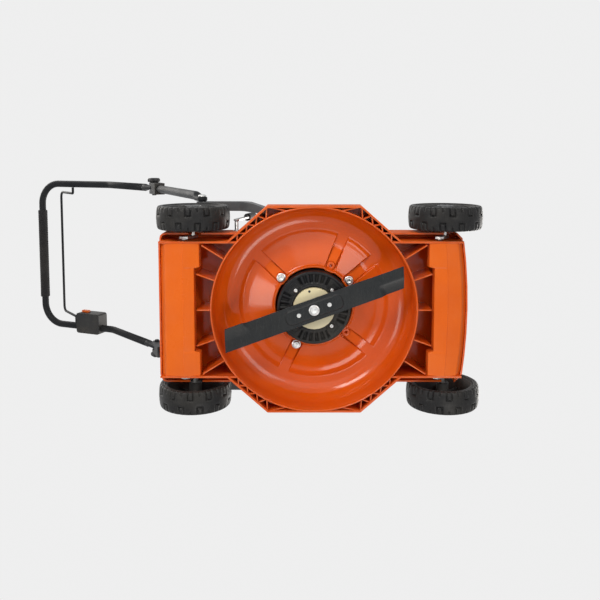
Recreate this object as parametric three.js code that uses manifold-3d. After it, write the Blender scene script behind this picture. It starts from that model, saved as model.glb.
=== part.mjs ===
// Cordless lawn mower, built around the blade's axis, in millimetres.
// +Z is up, the front points to -Y, the handle to +Y, and the mower's left side to +X.
import * as THREE from 'three';
import { mergeVertices } from 'three/addons/utils/BufferGeometryUtils.js';
import Module from 'manifold-3d';

const wasm = await Module();
wasm.setup();

// General fits and allowances
const seatGap = 0.3;
const runningGap = 0.4;
const boltGap = 0.7;
const overrun = 5;
const weld = 1;
const degree = Math.PI / 180;
const up = 90;

// Deck: blade chamber, seen from below as a ring with a torus-like channel
const deckDrop = 54.5;
const cuttingWidth = 440;
const tipGap = 6;
const deckWall = 4;
const chamberHeight = 85;
const chamberFillet = 46;
const ringDraft = 1.5;
const ceilingBand = 30;
const coneDrop = 28;
const motorOpeningGap = 4;
const openingLip = 5;
const openingLipDrop = 6;

// Deck: octagonal skirt with a truss of thin ribs between it and the ring
const skirtStandOff = 1;
const skirtFlat = 208;
const skirtEndInset = 38;
const skirtHeight = 56;
const trussRecess = 4;
const ribThickness = 2.4;
const trussBays = 7;
const flatTrussReach = 42;

// Deck: front and rear ends with the axle channels and the fender lips
const wheelTuck = 81;
const fenderReach = 20.5;
const fenderWall = 3.5;
const fenderDrop = 62;
const fenderCorner = 12;
const fenderLead = 65;
const rearChannel = 114;
const frontChannel = 100;
const frontBow = 11;
const endWallDrop = 76;

// Axle covers, which close the channels from below
const coverRise = 6;
const coverThickness = 3;
const coverCornerGap = 23;
const coverNotchGap = 35;
const coverWing = 56;
const coverCreaseGap = 59;
const coverCreaseRise = 2;
const coverLipLength = 11;
const coverLipRise = 12;
const coverFlangeHeight = 22;
const coverHoleRadius = 2.5;
const coverHoleOffset = 8;
const coverHoleInset = 3;

// Radial channels with bolt seats around the motor opening, as angles seen from below
const bossInset = 11;
const bossRadius = 11;
const boltedBossAngles = [139, 36, 246];
const spareBossAngles = [66.6, 319];
const channelWidth = 22;
const channelDepth = 1.8;
const channelOverreach = 10;

// Motor
const motorRadius = 83;
const motorShell = 4;
const motorFaceRise = 28;
const motorHeight = 112;
const motorFlangeRise = 73;
const motorFlangeReach = 15;
const motorFlangeThickness = 5;
const capRadius = 47;
const capFaceRise = 20;
const capCollar = 5;
const capCollarThickness = 3;
const ventCount = 10;
const ventWidth = 5;
const ventGap = 5;
const ventPhaseShare = 0.5;
const screwInset = 10;
const screwAngles = [45, 136, 226, 314];
const screwHeadRadius = 4.5;
const screwHeadHeight = 3.2;
const screwRadius = 2.2;
const screwLength = 8;
const boltHeadRadius = 7.5;
const boltHeadHeight = 6;
const boltFlangeRadius = 10.5;
const boltFlangeHeight = 2.5;
const boltRadius = 4;
const shaftRadius = 9;
const statorThickness = 45;
const rotorRise = 50;
const rotorLength = 50;
const statorGap = 2;
const fanInset = 23;
const fanGap = 6;
const fanHeight = 12;
const fanBladeCount = 7;
const fanDisc = 2;

// Blade, its adapter and its bolt
const bladeRise = 4;
const bladeWidth = 49;
const bladeThickness = 4;
const padDrop = 3;
const padLength = 136;
const padWidth = 35;
const bladeAngle = 20;
const tipCut = 15;
const sailLength = 82;
const sailRise = 13;
const adapterLength = 92;
const adapterWidth = 28;
const adapterTop = 17.5;
const pegRadius = 5;
const pegOffset = 36;
const bladeBoltRadius = 5;
const bladeBoltFlange = 12;
const bladeBoltFlangeHeight = 2.2;
const bladeBoltHexRadius = 9.5;
const bladeBoltHexHeight = 6;
const bladeBoltLength = 30;

// Wheels
const wheelRadius = 82.5;
const tyreWidth = 52;
const tyreWall = 14.5;
const treadDepth = 5;
const treadBlocks = 16;
const blockShare = 0.66;
const rowStaggerShare = 0.5;
const wheelGap = 7.5;
const rearWheelInset = 72;
const frontWheelInset = 34;
const hubWall = 4;
const hubInset = 2;
const hubBossRadius = 14;
const webOffset = 10;
const webThickness = 4;
const bossEndOffset = 18;
const hubCapRadius = 21;
const hubCapWall = 2;

// Crank axles, which set the cutting height
const axleRadius = 6;
const crankRadius = 30;
const crankRestAngle = 55;
const crankPlateHalfWidth = 11;
const crankPlateThickness = 6;
const crankPlateGap = 2.5;
const notchGap = 1.6;
const nutRadius = 9;
const nutThickness = 4.5;
const bushWall = 3.4;
const bushCollar = 3;
const bushCollarWidth = 3;

// Cutting height lever beside the rear right wheel
const leverBossRadius = 7;
const leverBossReach = 22;
const leverGap = 13.5;
const leverRise = 72;
const leverThickness = 4;
const leverHalfWidth = 7;
const leverLength = 104;
const leverAngle = 105;
const leverPinRadius = 3;
const leverGripRadius = 9;
const leverGripLength = 44;
const leverTaperShare = 0.8;
const leverGripOverlapShare = 0.7;

// Hood over the motor and the battery bay
const hoodWall = 3;
const hoodSideReach = 1;
const hoodFrontInset = 40;
const hoodRearInset = 26;
const hoodHeight = 118;
const hoodSideHeight = 52;
const hoodNoseHeight = 26;
const hoodTailHeight = 60;
const hoodCrown = 62;
const hoodCorner = 55;
const hoodNoseShare = 0.72;
const hoodNoseRiseShare = 0.44;
const hoodBrowShare = 0.4;
const hoodBrowDropShare = 0.13;
const hoodPeakShare = 0.1;
const hoodLevelShare = 0.55;
const hoodTailShare = 0.82;
const hoodTailDropShare = 0.12;
const hoodCheekShare = 0.93;
const hoodCheekRiseShare = 1.5;
const hoodShoulderShare = 0.78;
const hoodShoulderDropShare = 0.14;

// Battery with its bay, release button and grip
const batteryWidth = 148;
const batteryLength = 92;
const batteryHeight = 132;
const batteryInset = 153;
const batteryCorner = 10;
const batteryGap = 1.5;
const gripSlotLength = 84;
const gripSlotWidth = 46;
const gripSlotDepth = 28;
const gripBridgeWidth = 12;
const releaseWidth = 30;
const releaseHeight = 14;
const releaseThickness = 8;
const releaseTravel = 4;
const releaseDrop = 14;

// Controller box and front carry handle
const controllerWidth = 110;
const controllerLength = 70;
const controllerHeight = 28;
const controllerInset = 85;
const finCount = 7;
const finHeight = 6;
const finThickness = 3;
const carryHalfWidth = 84;
const carryHeight = 44;
const carryThickness = 14;
const carryDepth = 20;
const carryInset = 20;
const carryFoot = 26;
const carryInnerShare = 1.6;
const carryOuterShare = 0.2;
const carryFootShare = 0.4;

// Handle brackets on the deck's shoulders
const bracketThickness = 22;
const bracketWheelGap = 1;
const bracketFront = 20;
const bracketFootGap = 18;
const bracketFootHeight = 36;
const bracketRiseLength = 46;
const bracketRiseGap = 21.5;
const bracketArmHeight = 28;
const bracketClearance = 12;

// Handle: lower tubes, fold brackets, upper loop
const tubeRadius = 11;
const tongueThickness = 12;
const tongueHalfWidth = 12;
const pivotLead = 6;
const pivotBoltRadius = 4;
const pivotBoltHeadRadius = 10;
const pivotBoltHeadHeight = 5;
const pivotNutRadius = 8;
const lowerReach = 201;
const lowerRise = 417;
const upperReach = 189;
const upperRise = 209;
const gripReach = 260;
const gripRise = 105;
const lowerTongueLength = 40;
const upperTongueLength = 46;
const bendRadius = 60;
const loopCornerRadius = 70;
const tubeSides = 8;
const loopSteps = 36;
const socketHalfWidth = 16.5;
const socketHalfDepth = 15;
const socketTop = 16;
const slotBottom = 23;
const socketFloor = 5;
const socketBottom = 64;
const knobRadius = 19;
const knobThickness = 13;
const knobLobes = 5;
const knobWaistShare = 0.8;
const foldBoltRadius = 4;
const foldBoltHeadRadius = 6.8;

// Grip, bail lever and console on the upper loop
const gripRadius = 15;
const gripHalfLength = 150;
const bailRadius = 4;
const bailInset = 31.7;
const bailPivotOffset = 150;
const bailLength = 118;
const bailRestAngle = 31;
const bailCorner = 18;
const bailSteps = 30;
const consoleStart = 42;
const consoleLength = 92;
const consoleInward = 49.7;
const consoleOutward = 18.3;
const consoleBelow = 20;
const consoleAbove = 24;
const consoleCorner = 8;
const buttonRadius = 8;
const buttonHeight = 10;
const buttonTravel = 4;
const buttonStand = 5;
const keyRadius = 5;
const keyDepth = 12;
const keyHeadWidth = 26;
const keyHeadHeight = 12;
const keyHeadThickness = 7;
const keyAlongShare = 0.72;
const buttonAlongShare = 0.36;

// Facet counts
const ringSides = 36;
const wheelSides = 24;
const roundSides = 12;
const smallSides = 8;
const filletSteps = 3;
const hexSides = 6;
const bailSides = 8;

// Levels and radii that follow from the sizes above
const groundClearance = wheelRadius - deckDrop;
const ringInner = cuttingWidth / 2 + tipGap;
const ringOuter = ringInner + deckWall;
const rearReach = ringOuter + rearChannel;
const frontReach = ringOuter + frontChannel;
const channelHalfWidth = ringOuter - wheelTuck;
const fenderHalfWidth = channelHalfWidth + fenderReach;
const fenderStart = ringOuter - fenderLead;
const skirtLength = (ringOuter - skirtEndInset) * 2;
const coverCornerEdge = ringOuter + coverCornerGap;
const coverNotchEdge = ringOuter + coverNotchGap;
const coverNotchHalfWidth = channelHalfWidth - coverWing;
const coverCrease = ringOuter + coverCreaseGap;
const coverHoleX = coverNotchHalfWidth + coverHoleOffset;
const motorOpeningRadius = motorRadius + motorOpeningGap;
const bossCircle = motorOpeningRadius + bossInset;
const coneRadius = ringInner - chamberFillet - ceilingBand;
const motorFlangeRadius = bossCircle + motorFlangeReach;
const screwCircle = capRadius + screwInset;
const ventInner = screwCircle + ventGap;
const rotorRadius = motorRadius - statorThickness;
const fanRadius = motorRadius - fanInset;
const sailStart = cuttingWidth / 2 - sailLength;
const rearWheelOffset = rearReach - rearWheelInset;
const frontWheelOffset = frontReach - frontWheelInset;
const leverY = rearWheelOffset - wheelRadius - leverGap;
const hoodHalfWidth = channelHalfWidth + hoodSideReach;
const hoodFront = frontReach - hoodFrontInset;
const hoodRear = rearReach - hoodRearInset;
const batteryY = hoodRear - batteryInset;
const controllerY = hoodFront - controllerInset;
const carryY = frontReach - carryInset;
const ceilingZ = groundClearance + chamberHeight;
const deckTop = ceilingZ + deckWall;
const openingZ = ceilingZ - coneDrop;
const shoulderZ = groundClearance + skirtHeight;
const skirtHalfWidth = ringOuter + skirtStandOff;
const sideWallOuter = channelHalfWidth + deckWall;
const coverZ = groundClearance + coverRise;
const coneRun = coneRadius - motorOpeningRadius - openingLip;
const bossRun = bossCircle - motorOpeningRadius - openingLip - bossRadius;
const bossSeatZ = openingZ + coneDrop * bossRun / coneRun;
const motorFaceZ = groundClearance + motorFaceRise;
const motorTopZ = motorFaceZ + motorHeight;
const motorFlangeZ = groundClearance + motorFlangeRise;
const capFaceZ = groundClearance + capFaceRise;
const padZ = groundClearance + bladeRise;
const bladeZ = padZ + padDrop;
const adapterTopZ = groundClearance + adapterTop;
const crankRise = crankRadius * Math.sin(crankRestAngle * degree);
const crankLag = crankRadius * Math.cos(crankRestAngle * degree);
const crankZ = wheelRadius - crankRise;
const rearCrankY = rearWheelOffset + crankLag;
const frontCrankY = crankLag - frontWheelOffset;
const platesInner = sideWallOuter + crankPlateGap;
const platesOuter = platesInner + crankPlateThickness;
const wheelX = fenderHalfWidth + wheelGap + tyreWidth / 2;
const bracketOuterX = wheelX + tyreWidth / 2 + bracketWheelGap;
const bracketRiseEnd = rearWheelOffset - wheelRadius - bracketRiseGap;
const bracketRiseStart = bracketRiseEnd - bracketRiseLength;
const bracketFootEnd = bracketRiseStart - bracketFootGap;
const pivotY = rearWheelOffset - pivotLead;
const tubeX = bracketOuterX + runningGap + tubeRadius + seatGap;
const tongueInner = bracketOuterX + runningGap;
const pivotZ = wheelRadius * 2 + bracketClearance + bracketArmHeight / 2;
const foldY = pivotY + lowerReach;
const foldZ = pivotZ + lowerRise;
const bendY = foldY + upperReach;
const bendZ = foldZ + upperRise;
const gripEndY = bendY + gripReach;
const gripEndZ = bendZ + gripRise;
const consoleInnerX = tubeX - consoleInward;
const consoleOuterX = tubeX + consoleOutward;
const bailHalfWidth = tubeX - bailInset;
const lowerAngle = Math.atan2(foldZ - pivotZ, foldY - pivotY);
const upperAngle = Math.atan2(bendZ - foldZ, bendY - foldY);
const gripAngle = Math.atan2(gripEndZ - bendZ, gripEndY - bendY);

// Finishes
const orange = { color: 0xe2571b, roughness: 0.42, metalness: 0 };
const black = { color: 0x1b1c1d, roughness: 0.6, metalness: 0 };
const grey = { color: 0x4a4d50, roughness: 0.5, metalness: 0.1 };
const rubber = { color: 0x2b2c2c, roughness: 0.9, metalness: 0 };
const tubePaint = { color: 0x303335, roughness: 0.45, metalness: 0.3 };
const zinc = { color: 0xc9ccce, roughness: 0.3, metalness: 1 };
const bladePaint = { color: 0x303538, roughness: 0.5, metalness: 0.4 };
const cream = { color: 0xcdbf93, roughness: 0.5, metalness: 0.1 };
const copper = { color: 0xb06a3b, roughness: 0.4, metalness: 0.9 };

const mower = new THREE.Group();

// A closed solid from any closed geometry, with its faces turned outwards
function solid(geometry) {
  const bare = new THREE.BufferGeometry();
  bare.setAttribute('position', geometry.getAttribute('position'));
  bare.setIndex(geometry.getIndex());
  const merged = mergeVertices(bare);
  const places = merged.getAttribute('position');
  const index = merged.getIndex().array;
  const corners = [];
  let volume = 0;
  const [a, b, c] = [new THREE.Vector3(), new THREE.Vector3(), new THREE.Vector3()];
  for (let i = 0; i < index.length; i += 3) {
    const [p, q, r] = [index[i], index[i + 1], index[i + 2]];
    if (p === q || q === r || r === p) continue;
    corners.push(p, q, r);
    a.fromBufferAttribute(places, p);
    b.fromBufferAttribute(places, q);
    c.fromBufferAttribute(places, r);
    volume += a.dot(b.cross(c));
  }
  if (volume < 0) corners.reverse();
  return new wasm.Manifold(new wasm.Mesh({
    numProp: 3,
    vertProperties: new Float32Array(places.array),
    triVerts: new Uint32Array(corners),
  }));
}

function join(solids) {
  return solids.reduce((whole, next) => whole.add(next));
}

function cut(body, solids) {
  return solids.reduce((rest, next) => rest.subtract(next), body);
}

function piece(name, body, finish, group = mower) {
  const result = body.getMesh();
  const geometry = new THREE.BufferGeometry();
  const points = new Float32Array(result.vertProperties);
  geometry.setAttribute('position', new THREE.BufferAttribute(points, 3));
  geometry.setIndex(new THREE.BufferAttribute(new Uint32Array(result.triVerts), 1));
  geometry.computeVertexNormals();
  const mesh = new THREE.Mesh(geometry, new THREE.MeshStandardMaterial(finish));
  mesh.name = name;
  group.add(mesh);
}

function block(x0, x1, y0, y1, z0, z1) {
  const geometry = new THREE.BoxGeometry(Math.abs(x1 - x0), Math.abs(y1 - y0), Math.abs(z1 - z0));
  return solid(geometry.translate((x0 + x1) / 2, (y0 + y1) / 2, (z0 + z1) / 2));
}

// A round bar along X, Y or Z, centred on the two other coordinates in X, Y, Z order
function bar(axis, radius, from, to, first, second, sides = roundSides) {
  const geometry = new THREE.CylinderGeometry(radius, radius, Math.abs(to - from), sides);
  const middle = (from + to) / 2;
  if (axis === 'x') return solid(geometry.rotateZ(-up * degree).translate(middle, first, second));
  if (axis === 'y') return solid(geometry.translate(first, middle, second));
  return solid(geometry.rotateX(up * degree).translate(first, second, middle));
}

function shapeOf(points) {
  return new THREE.Shape(points.map(([x, y]) => new THREE.Vector2(x, y)));
}

function extruded(shape, depth) {
  return new THREE.ExtrudeGeometry(shape, { depth, bevelEnabled: false, curveSegments: filletSteps });
}

function prismZ(shape, z0, z1) {
  return solid(extruded(shape, z1 - z0).translate(0, 0, z0));
}

// The outline's points are Y and Z, extruded along X
function prismX(shape, x0, x1) {
  const turn = new THREE.Matrix4().set(0, 0, 1, 0, 1, 0, 0, 0, 0, 1, 0, 0, 0, 0, 0, 1);
  return solid(extruded(shape, x1 - x0).applyMatrix4(turn).translate(x0, 0, 0));
}

// The outline's points are X and Z, extruded along Y
function prismY(shape, y0, y1) {
  return solid(extruded(shape, y1 - y0).rotateX(up * degree).translate(0, y1, 0));
}

// A solid of revolution from a closed loop of radius and height
function turned(profile, sides = ringSides) {
  const points = [...profile, profile[0]].map(([r, h]) => new THREE.Vector2(r, h));
  return solid(new THREE.LatheGeometry(points, sides).rotateX(up * degree));
}

// The same, about an axis along X
function turnedX(profile, x, y, z, sides = wheelSides) {
  const points = [...profile, profile[0]].map(([r, h]) => new THREE.Vector2(r, h));
  return solid(new THREE.LatheGeometry(points, sides).rotateZ(-up * degree).translate(x, y, z));
}

function arc(cx, cy, radius, from, to, steps) {
  return Array.from({ length: steps + 1 }, (_, i) => {
    const angle = (from + (to - from) * i / steps) * degree;
    return [cx + radius * Math.cos(angle), cy + radius * Math.sin(angle)];
  });
}

function roundedRectangle(x0, x1, y0, y1, radius) {
  return shapeOf([
    ...arc(x1 - radius, y1 - radius, radius, 0, up, filletSteps),
    ...arc(x0 + radius, y1 - radius, radius, up, up * 2, filletSteps),
    ...arc(x0 + radius, y0 + radius, radius, up * 2, up * 3, filletSteps),
    ...arc(x1 - radius, y0 + radius, radius, up * 3, up * 4, filletSteps),
  ]);
}

// An upright wall between two points of the plan
function wall([x0, y0], [x1, y1], thickness, z0, z1) {
  const length = Math.hypot(x1 - x0, y1 - y0);
  const geometry = new THREE.BoxGeometry(length, thickness, z1 - z0);
  geometry.rotateZ(Math.atan2(y1 - y0, x1 - x0));
  return solid(geometry.translate((x0 + x1) / 2, (y0 + y1) / 2, (z0 + z1) / 2));
}

// A point of the plan at an angle as it is seen from below, with the front to the right
function seenFromBelow(radius, angle) {
  return [-radius * Math.sin(angle * degree), -radius * Math.cos(angle * degree)];
}

// Turns a solid built around the origin and sets it down in the side plane
function placed(body, x, y, z, angle) {
  return body.rotate([angle / degree, 0, 0]).translate([x, y, z]);
}

// A path through points, with each inner corner rounded by a curve
function roundedPath(points, radii) {
  const path = new THREE.CurvePath();
  const corners = points.map((p) => new THREE.Vector3(...p));
  let start = corners[0];
  for (let i = 1; i < corners.length - 1; i += 1) {
    const before = corners[i].clone().sub(corners[i - 1]).normalize();
    const after = corners[i + 1].clone().sub(corners[i]).normalize();
    const trim = radii[i - 1] * Math.tan(before.angleTo(after) / 2);
    const enter = corners[i].clone().addScaledVector(before, -trim);
    const leave = corners[i].clone().addScaledVector(after, trim);
    path.add(new THREE.LineCurve3(start, enter));
    path.add(new THREE.QuadraticBezierCurve3(enter, corners[i], leave));
    start = leave;
  }
  path.add(new THREE.LineCurve3(start, corners[corners.length - 1]));
  return path;
}

function tubeAlong(path, radius, steps, sides = tubeSides) {
  const section = shapeOf(arc(0, 0, radius, 0, up * 4 * (sides - 1) / sides, sides - 1));
  return solid(new THREE.ExtrudeGeometry(section, { steps, bevelEnabled: false, extrudePath: path }));
}

// The chamber's shell: ring, fillet, flat ceiling, cone and the lip of the motor opening
function chamberShell() {
  const coneFoot = motorOpeningRadius + openingLip;
  const lipZ = openingZ - openingLipDrop;
  const filletX = ringInner - ringDraft - chamberFillet;
  const filletZ = ceilingZ - chamberFillet;
  const outerFillet = chamberFillet + deckWall;
  return turned([
    [ringInner, groundClearance],
    ...arc(filletX, filletZ, chamberFillet, 0, up, filletSteps),
    [coneRadius, ceilingZ],
    [coneFoot, openingZ],
    [coneFoot, lipZ],
    [motorOpeningRadius, lipZ],
    [motorOpeningRadius, openingZ + deckWall],
    [coneFoot, openingZ + deckWall],
    [coneRadius, deckTop],
    ...arc(filletX, filletZ, outerFillet, up, 0, filletSteps),
    [ringOuter, groundClearance],
  ]);
}

// Half of the octagonal skirt's plan on one side, from rear to front
function skirtCorners(side, inset = 0) {
  const flat = skirtFlat / 2 - inset / 2;
  const x = skirtHalfWidth - inset;
  return [
    [side * (sideWallOuter - inset), skirtLength / 2 - inset / 2],
    [side * x, flat],
    [side * x, -flat],
    [side * (sideWallOuter - inset), inset / 2 - skirtLength / 2],
  ];
}

function pointBetween([x0, y0], [x1, y1], share) {
  return [x0 + (x1 - x0) * share, y0 + (y1 - y0) * share];
}

function ringPointTowards([x, y], radius) {
  const scale = radius / Math.hypot(x, y);
  return [x * scale, y * scale];
}

// Zigzag ribs between the skirt and the ring, along one diagonal and onto the flat
function trussRibs(side, end) {
  const inset = deckWall / 2;
  const corner = [side * (skirtHalfWidth - inset), end * skirtFlat / 2];
  const tail = [side * (sideWallOuter - inset), end * (skirtLength / 2 - inset)];
  const onFlat = [corner[0], corner[1] - end * flatTrussReach];
  const stops = [onFlat, corner];
  for (let i = 1; i <= trussBays; i += 1) stops.push(pointBetween(corner, tail, i / (trussBays + 1)));
  const points = stops.map((p, i) => (i % 2 ? p : ringPointTowards(p, ringOuter - inset)));
  const ribs = [];
  for (let i = 1; i < points.length; i += 1) {
    ribs.push(wall(points[i - 1], points[i], ribThickness, groundClearance + trussRecess, shoulderZ - weld));
  }
  return ribs;
}

function skirt() {
  const parts = [];
  for (const side of [-1, 1]) {
    const corners = skirtCorners(side, deckWall / 2);
    for (let i = 1; i < corners.length; i += 1) {
      parts.push(wall(corners[i - 1], corners[i], deckWall, groundClearance, shoulderZ));
    }
    for (const [x, y] of corners) {
      parts.push(bar('z', deckWall / 2, groundClearance, shoulderZ, x, y, smallSides));
    }
    const plan = shapeOf(skirtCorners(side));
    const shoulder = prismZ(plan, shoulderZ - deckWall, shoulderZ);
    parts.push(cut(shoulder, [bar('z', ringOuter - weld, 0, deckTop, 0, 0, ringSides)]));
    for (const end of [-1, 1]) parts.push(...trussRibs(side, end));
  }
  return parts;
}

// The plan of the deck's long body, whose front edge bows forward
function endPlan(inset) {
  const x = fenderHalfWidth - inset;
  const rear = rearReach - inset;
  const front = -frontReach + inset;
  const corner = fenderCorner - inset / 2;
  const bow = Array.from({ length: filletSteps * 2 + 1 }, (_, i) => {
    const share = i / (filletSteps * 2) * 2 - 1;
    return [share * (x - corner), front - frontBow * (1 - share * share)];
  });
  return shapeOf([
    ...arc(x - corner, rear - corner, corner, 0, up, filletSteps),
    ...arc(corner - x, rear - corner, corner, up, up * 2, filletSteps),
    [-x, front + corner],
    ...bow,
    [x, front + corner],
  ]);
}

function fenderLips() {
  const lowZ = deckTop - fenderDrop;
  const hollow = prismZ(endPlan(fenderWall), lowZ - weld, ceilingZ);
  const shell = cut(prismZ(endPlan(0), lowZ, deckTop), [hollow]);
  return cut(shell, [
    block(-ringOuter, ringOuter, -fenderStart, fenderStart, lowZ - weld, ceilingZ),
    bar('z', ringInner - chamberFillet - weld, lowZ, deckTop + weld, 0, 0, ringSides),
  ]);
}

// The deeper walls across the very rear and the very front, between the side walls
function endWalls() {
  const lowZ = deckTop - endWallDrop;
  const whole = cut(prismZ(endPlan(0), lowZ, deckTop - weld), [prismZ(endPlan(fenderWall), 0, deckTop)]);
  const band = join([-1, 1].map((end) => block(
    -channelHalfWidth,
    channelHalfWidth,
    end * (coverCrease + coverLipLength),
    end * (rearReach + overrun),
    0,
    deckTop,
  )));
  return whole.intersect(band);
}

function sideWalls() {
  const parts = [];
  for (const side of [-1, 1]) {
    for (const [end, reach] of [[1, rearReach], [-1, frontReach]]) {
      const start = Math.sqrt(ringOuter ** 2 - sideWallOuter ** 2) - deckWall;
      parts.push(block(
        side * channelHalfWidth,
        side * sideWallOuter,
        end * start,
        end * (reach - fenderWall / 2),
        groundClearance + coverRise / 2,
        deckTop - weld,
      ));
    }
  }
  return parts;
}

// Five ribs on each side of the chamber, from the ring to the axle cover
function channelRibs() {
  const ribShares = [-0.97, -0.54, 0, 0.54, 0.97];
  const ringShares = [-0.76, -0.44, 0, 0.44, 0.76];
  const parts = [];
  for (const end of [-1, 1]) {
    ribShares.forEach((share, i) => {
      const x = ringShares[i] * channelHalfWidth;
      const inner = [x, end * (Math.sqrt(ringOuter ** 2 - x * x) - deckWall / 2)];
      const atNotch = Math.abs(share * channelHalfWidth) < coverNotchHalfWidth;
      const edge = (atNotch ? coverNotchEdge : coverCornerEdge) - ribThickness - coverThickness;
      const outer = [share * channelHalfWidth, end * edge];
      parts.push(wall(inner, outer, ribThickness, groundClearance + trussRecess, deckTop - weld));
    });
  }
  return parts;
}

function bosses() {
  return [...boltedBossAngles, ...spareBossAngles].map((angle) => {
    const [x, y] = seenFromBelow(bossCircle, angle);
    return bar('z', bossRadius, bossSeatZ, motorFlangeZ - seatGap, x, y, roundSides);
  });
}

// A shallow sloping trough from each bolt seat out over the cone
function radialChannel(angle) {
  const slope = Math.atan2(coneDrop, coneRun);
  const depth = chamberHeight / 2;
  const half = channelWidth / 2;
  const trough = block(0, coneRadius + channelOverreach - bossCircle, -half, half, -depth, channelDepth);
  const [x, y] = seenFromBelow(bossCircle, angle);
  const startZ = openingZ + coneDrop * (bossCircle - motorOpeningRadius - openingLip) / coneRun;
  return trough
    .rotate([0, -slope / degree, 0])
    .rotate([0, 0, Math.atan2(y, x) / degree])
    .translate([x, y, startZ]);
}

// A notch in each fender lip, in which the wheel's stub axle moves up and down
function axleNotches() {
  const reach = axleRadius + notchGap;
  const notches = [];
  for (const side of [-1, 1]) {
    for (const crankY of [rearCrankY, frontCrankY]) {
      notches.push(block(
        side * (sideWallOuter + weld),
        side * (fenderHalfWidth + overrun),
        crankY - crankRadius - reach,
        crankY - crankLag + reach,
        0,
        wheelRadius + reach,
      ));
    }
  }
  return notches;
}

function deck() {
  const lever = bar(
    'x',
    leverBossRadius,
    -fenderHalfWidth + fenderWall / 2,
    -fenderHalfWidth - leverBossReach,
    leverY,
    groundClearance + leverRise,
  );
  const pin = bar(
    'x',
    leverPinRadius,
    -fenderHalfWidth - leverBossReach + weld,
    -fenderHalfWidth - leverBossReach - leverThickness - runningGap * 2,
    leverY,
    groundClearance + leverRise,
    smallSides,
  );
  const shell = cut(chamberShell(), [...boltedBossAngles, ...spareBossAngles].map(radialChannel));
  const body = join([
    shell,
    fenderLips(),
    endWalls(),
    ...skirt(),
    ...sideWalls(),
    ...channelRibs(),
    ...bosses(),
    lever,
    pin,
  ]);
  const axleHoles = [rearCrankY, frontCrankY].map((y) => (
    bar('x', axleRadius + runningGap + bushWall, -platesInner, platesInner, y, crankZ)
  ));
  const boltHoles = [...boltedBossAngles, ...spareBossAngles].map((angle) => (
    bar('z', boltRadius + runningGap, 0, deckTop * 2, ...seenFromBelow(bossCircle, angle), smallSides)
  ));
  const headRooms = boltedBossAngles.map((angle) => (
    bar('z', boltFlangeRadius + runningGap, 0, bossSeatZ, ...seenFromBelow(bossCircle, angle))
  ));
  return cut(body, [...axleNotches(), ...axleHoles, ...boltHoles, ...headRooms]);
}

piece('deck', deck(), orange);

// The cover under one axle: its profile runs from the notched inner edge to the raised outer lip
function axleCover(end, reach) {
  const lipStart = reach - fenderWall - coverLipLength;
  const top = coverZ + coverThickness;
  const profile = shapeOf([
    [coverCornerEdge, coverZ],
    [coverCrease, coverZ - coverCreaseRise],
    [lipStart, coverZ],
    [reach - fenderWall - seatGap, coverZ + coverLipRise],
    [reach - fenderWall - seatGap, top + coverLipRise],
    [lipStart - coverThickness, top],
    [coverCrease, top - coverCreaseRise],
    [coverCornerEdge + coverThickness, top],
    [coverCornerEdge + coverThickness, top + coverFlangeHeight],
    [coverCornerEdge, top + coverFlangeHeight],
  ]);
  const half = channelHalfWidth - seatGap;
  const notch = block(
    -coverNotchHalfWidth,
    coverNotchHalfWidth,
    coverCornerEdge - overrun,
    coverNotchEdge,
    0,
    deckTop,
  );
  const notchFlange = block(
    -coverNotchHalfWidth - coverThickness,
    coverNotchHalfWidth + coverThickness,
    coverNotchEdge,
    coverNotchEdge + coverThickness,
    coverZ,
    top + coverFlangeHeight,
  );
  const cheeks = [-1, 1].map((side) => block(
    side * coverNotchHalfWidth,
    side * (coverNotchHalfWidth + coverThickness),
    coverCornerEdge,
    coverNotchEdge + coverThickness,
    coverZ,
    top + coverFlangeHeight,
  ));
  const holes = [-1, 1].map((side) => bar(
    'z',
    coverHoleRadius,
    0,
    top + weld,
    side * coverHoleX,
    coverNotchEdge - coverHoleInset,
    smallSides,
  ));
  const body = join([cut(prismX(profile, -half, half), [notch]), notchFlange, ...cheeks]);
  const cover = cut(body, holes);
  return end > 0 ? cover : cover.mirror([0, 1, 0]);
}

piece('rear_axle_cover', axleCover(1, rearReach), orange);
piece('front_axle_cover', axleCover(-1, frontReach), orange);

function motorHousing() {
  const opening = capRadius + seatGap;
  const inner = motorRadius - motorShell;
  const body = turned([
    [opening, motorFaceZ],
    [motorRadius, motorFaceZ],
    [motorRadius, motorFlangeZ],
    [motorFlangeRadius, motorFlangeZ],
    [motorFlangeRadius, motorFlangeZ + motorFlangeThickness],
    [motorRadius, motorFlangeZ + motorFlangeThickness],
    [motorRadius, motorTopZ],
    [shaftRadius + overrun, motorTopZ],
    [shaftRadius + overrun, motorTopZ - motorShell],
    [inner, motorTopZ - motorShell],
    [inner, motorFaceZ + motorShell],
    [opening, motorFaceZ + motorShell],
  ]);
  const half = ventWidth / 2;
  const shellTop = motorFaceZ + motorShell + weld;
  const vents = Array.from({ length: ventCount }, (_, i) => (
    block(ventInner, inner - weld, -half, half, motorFaceZ - weld, shellTop)
      .rotate([0, 0, (i + ventPhaseShare) * up * 4 / ventCount])
  ));
  const screwHoles = screwAngles.map((angle) => (
    bar('z', screwRadius + seatGap, 0, motorFaceZ * 2, ...seenFromBelow(screwCircle, angle), smallSides)
  ));
  const boltHoles = boltedBossAngles.map((angle) => (
    bar('z', boltRadius + seatGap, 0, motorTopZ, ...seenFromBelow(bossCircle, angle), smallSides)
  ));
  return cut(body, [...vents, ...screwHoles, ...boltHoles]);
}

piece('motor_housing', motorHousing(), black);

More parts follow.
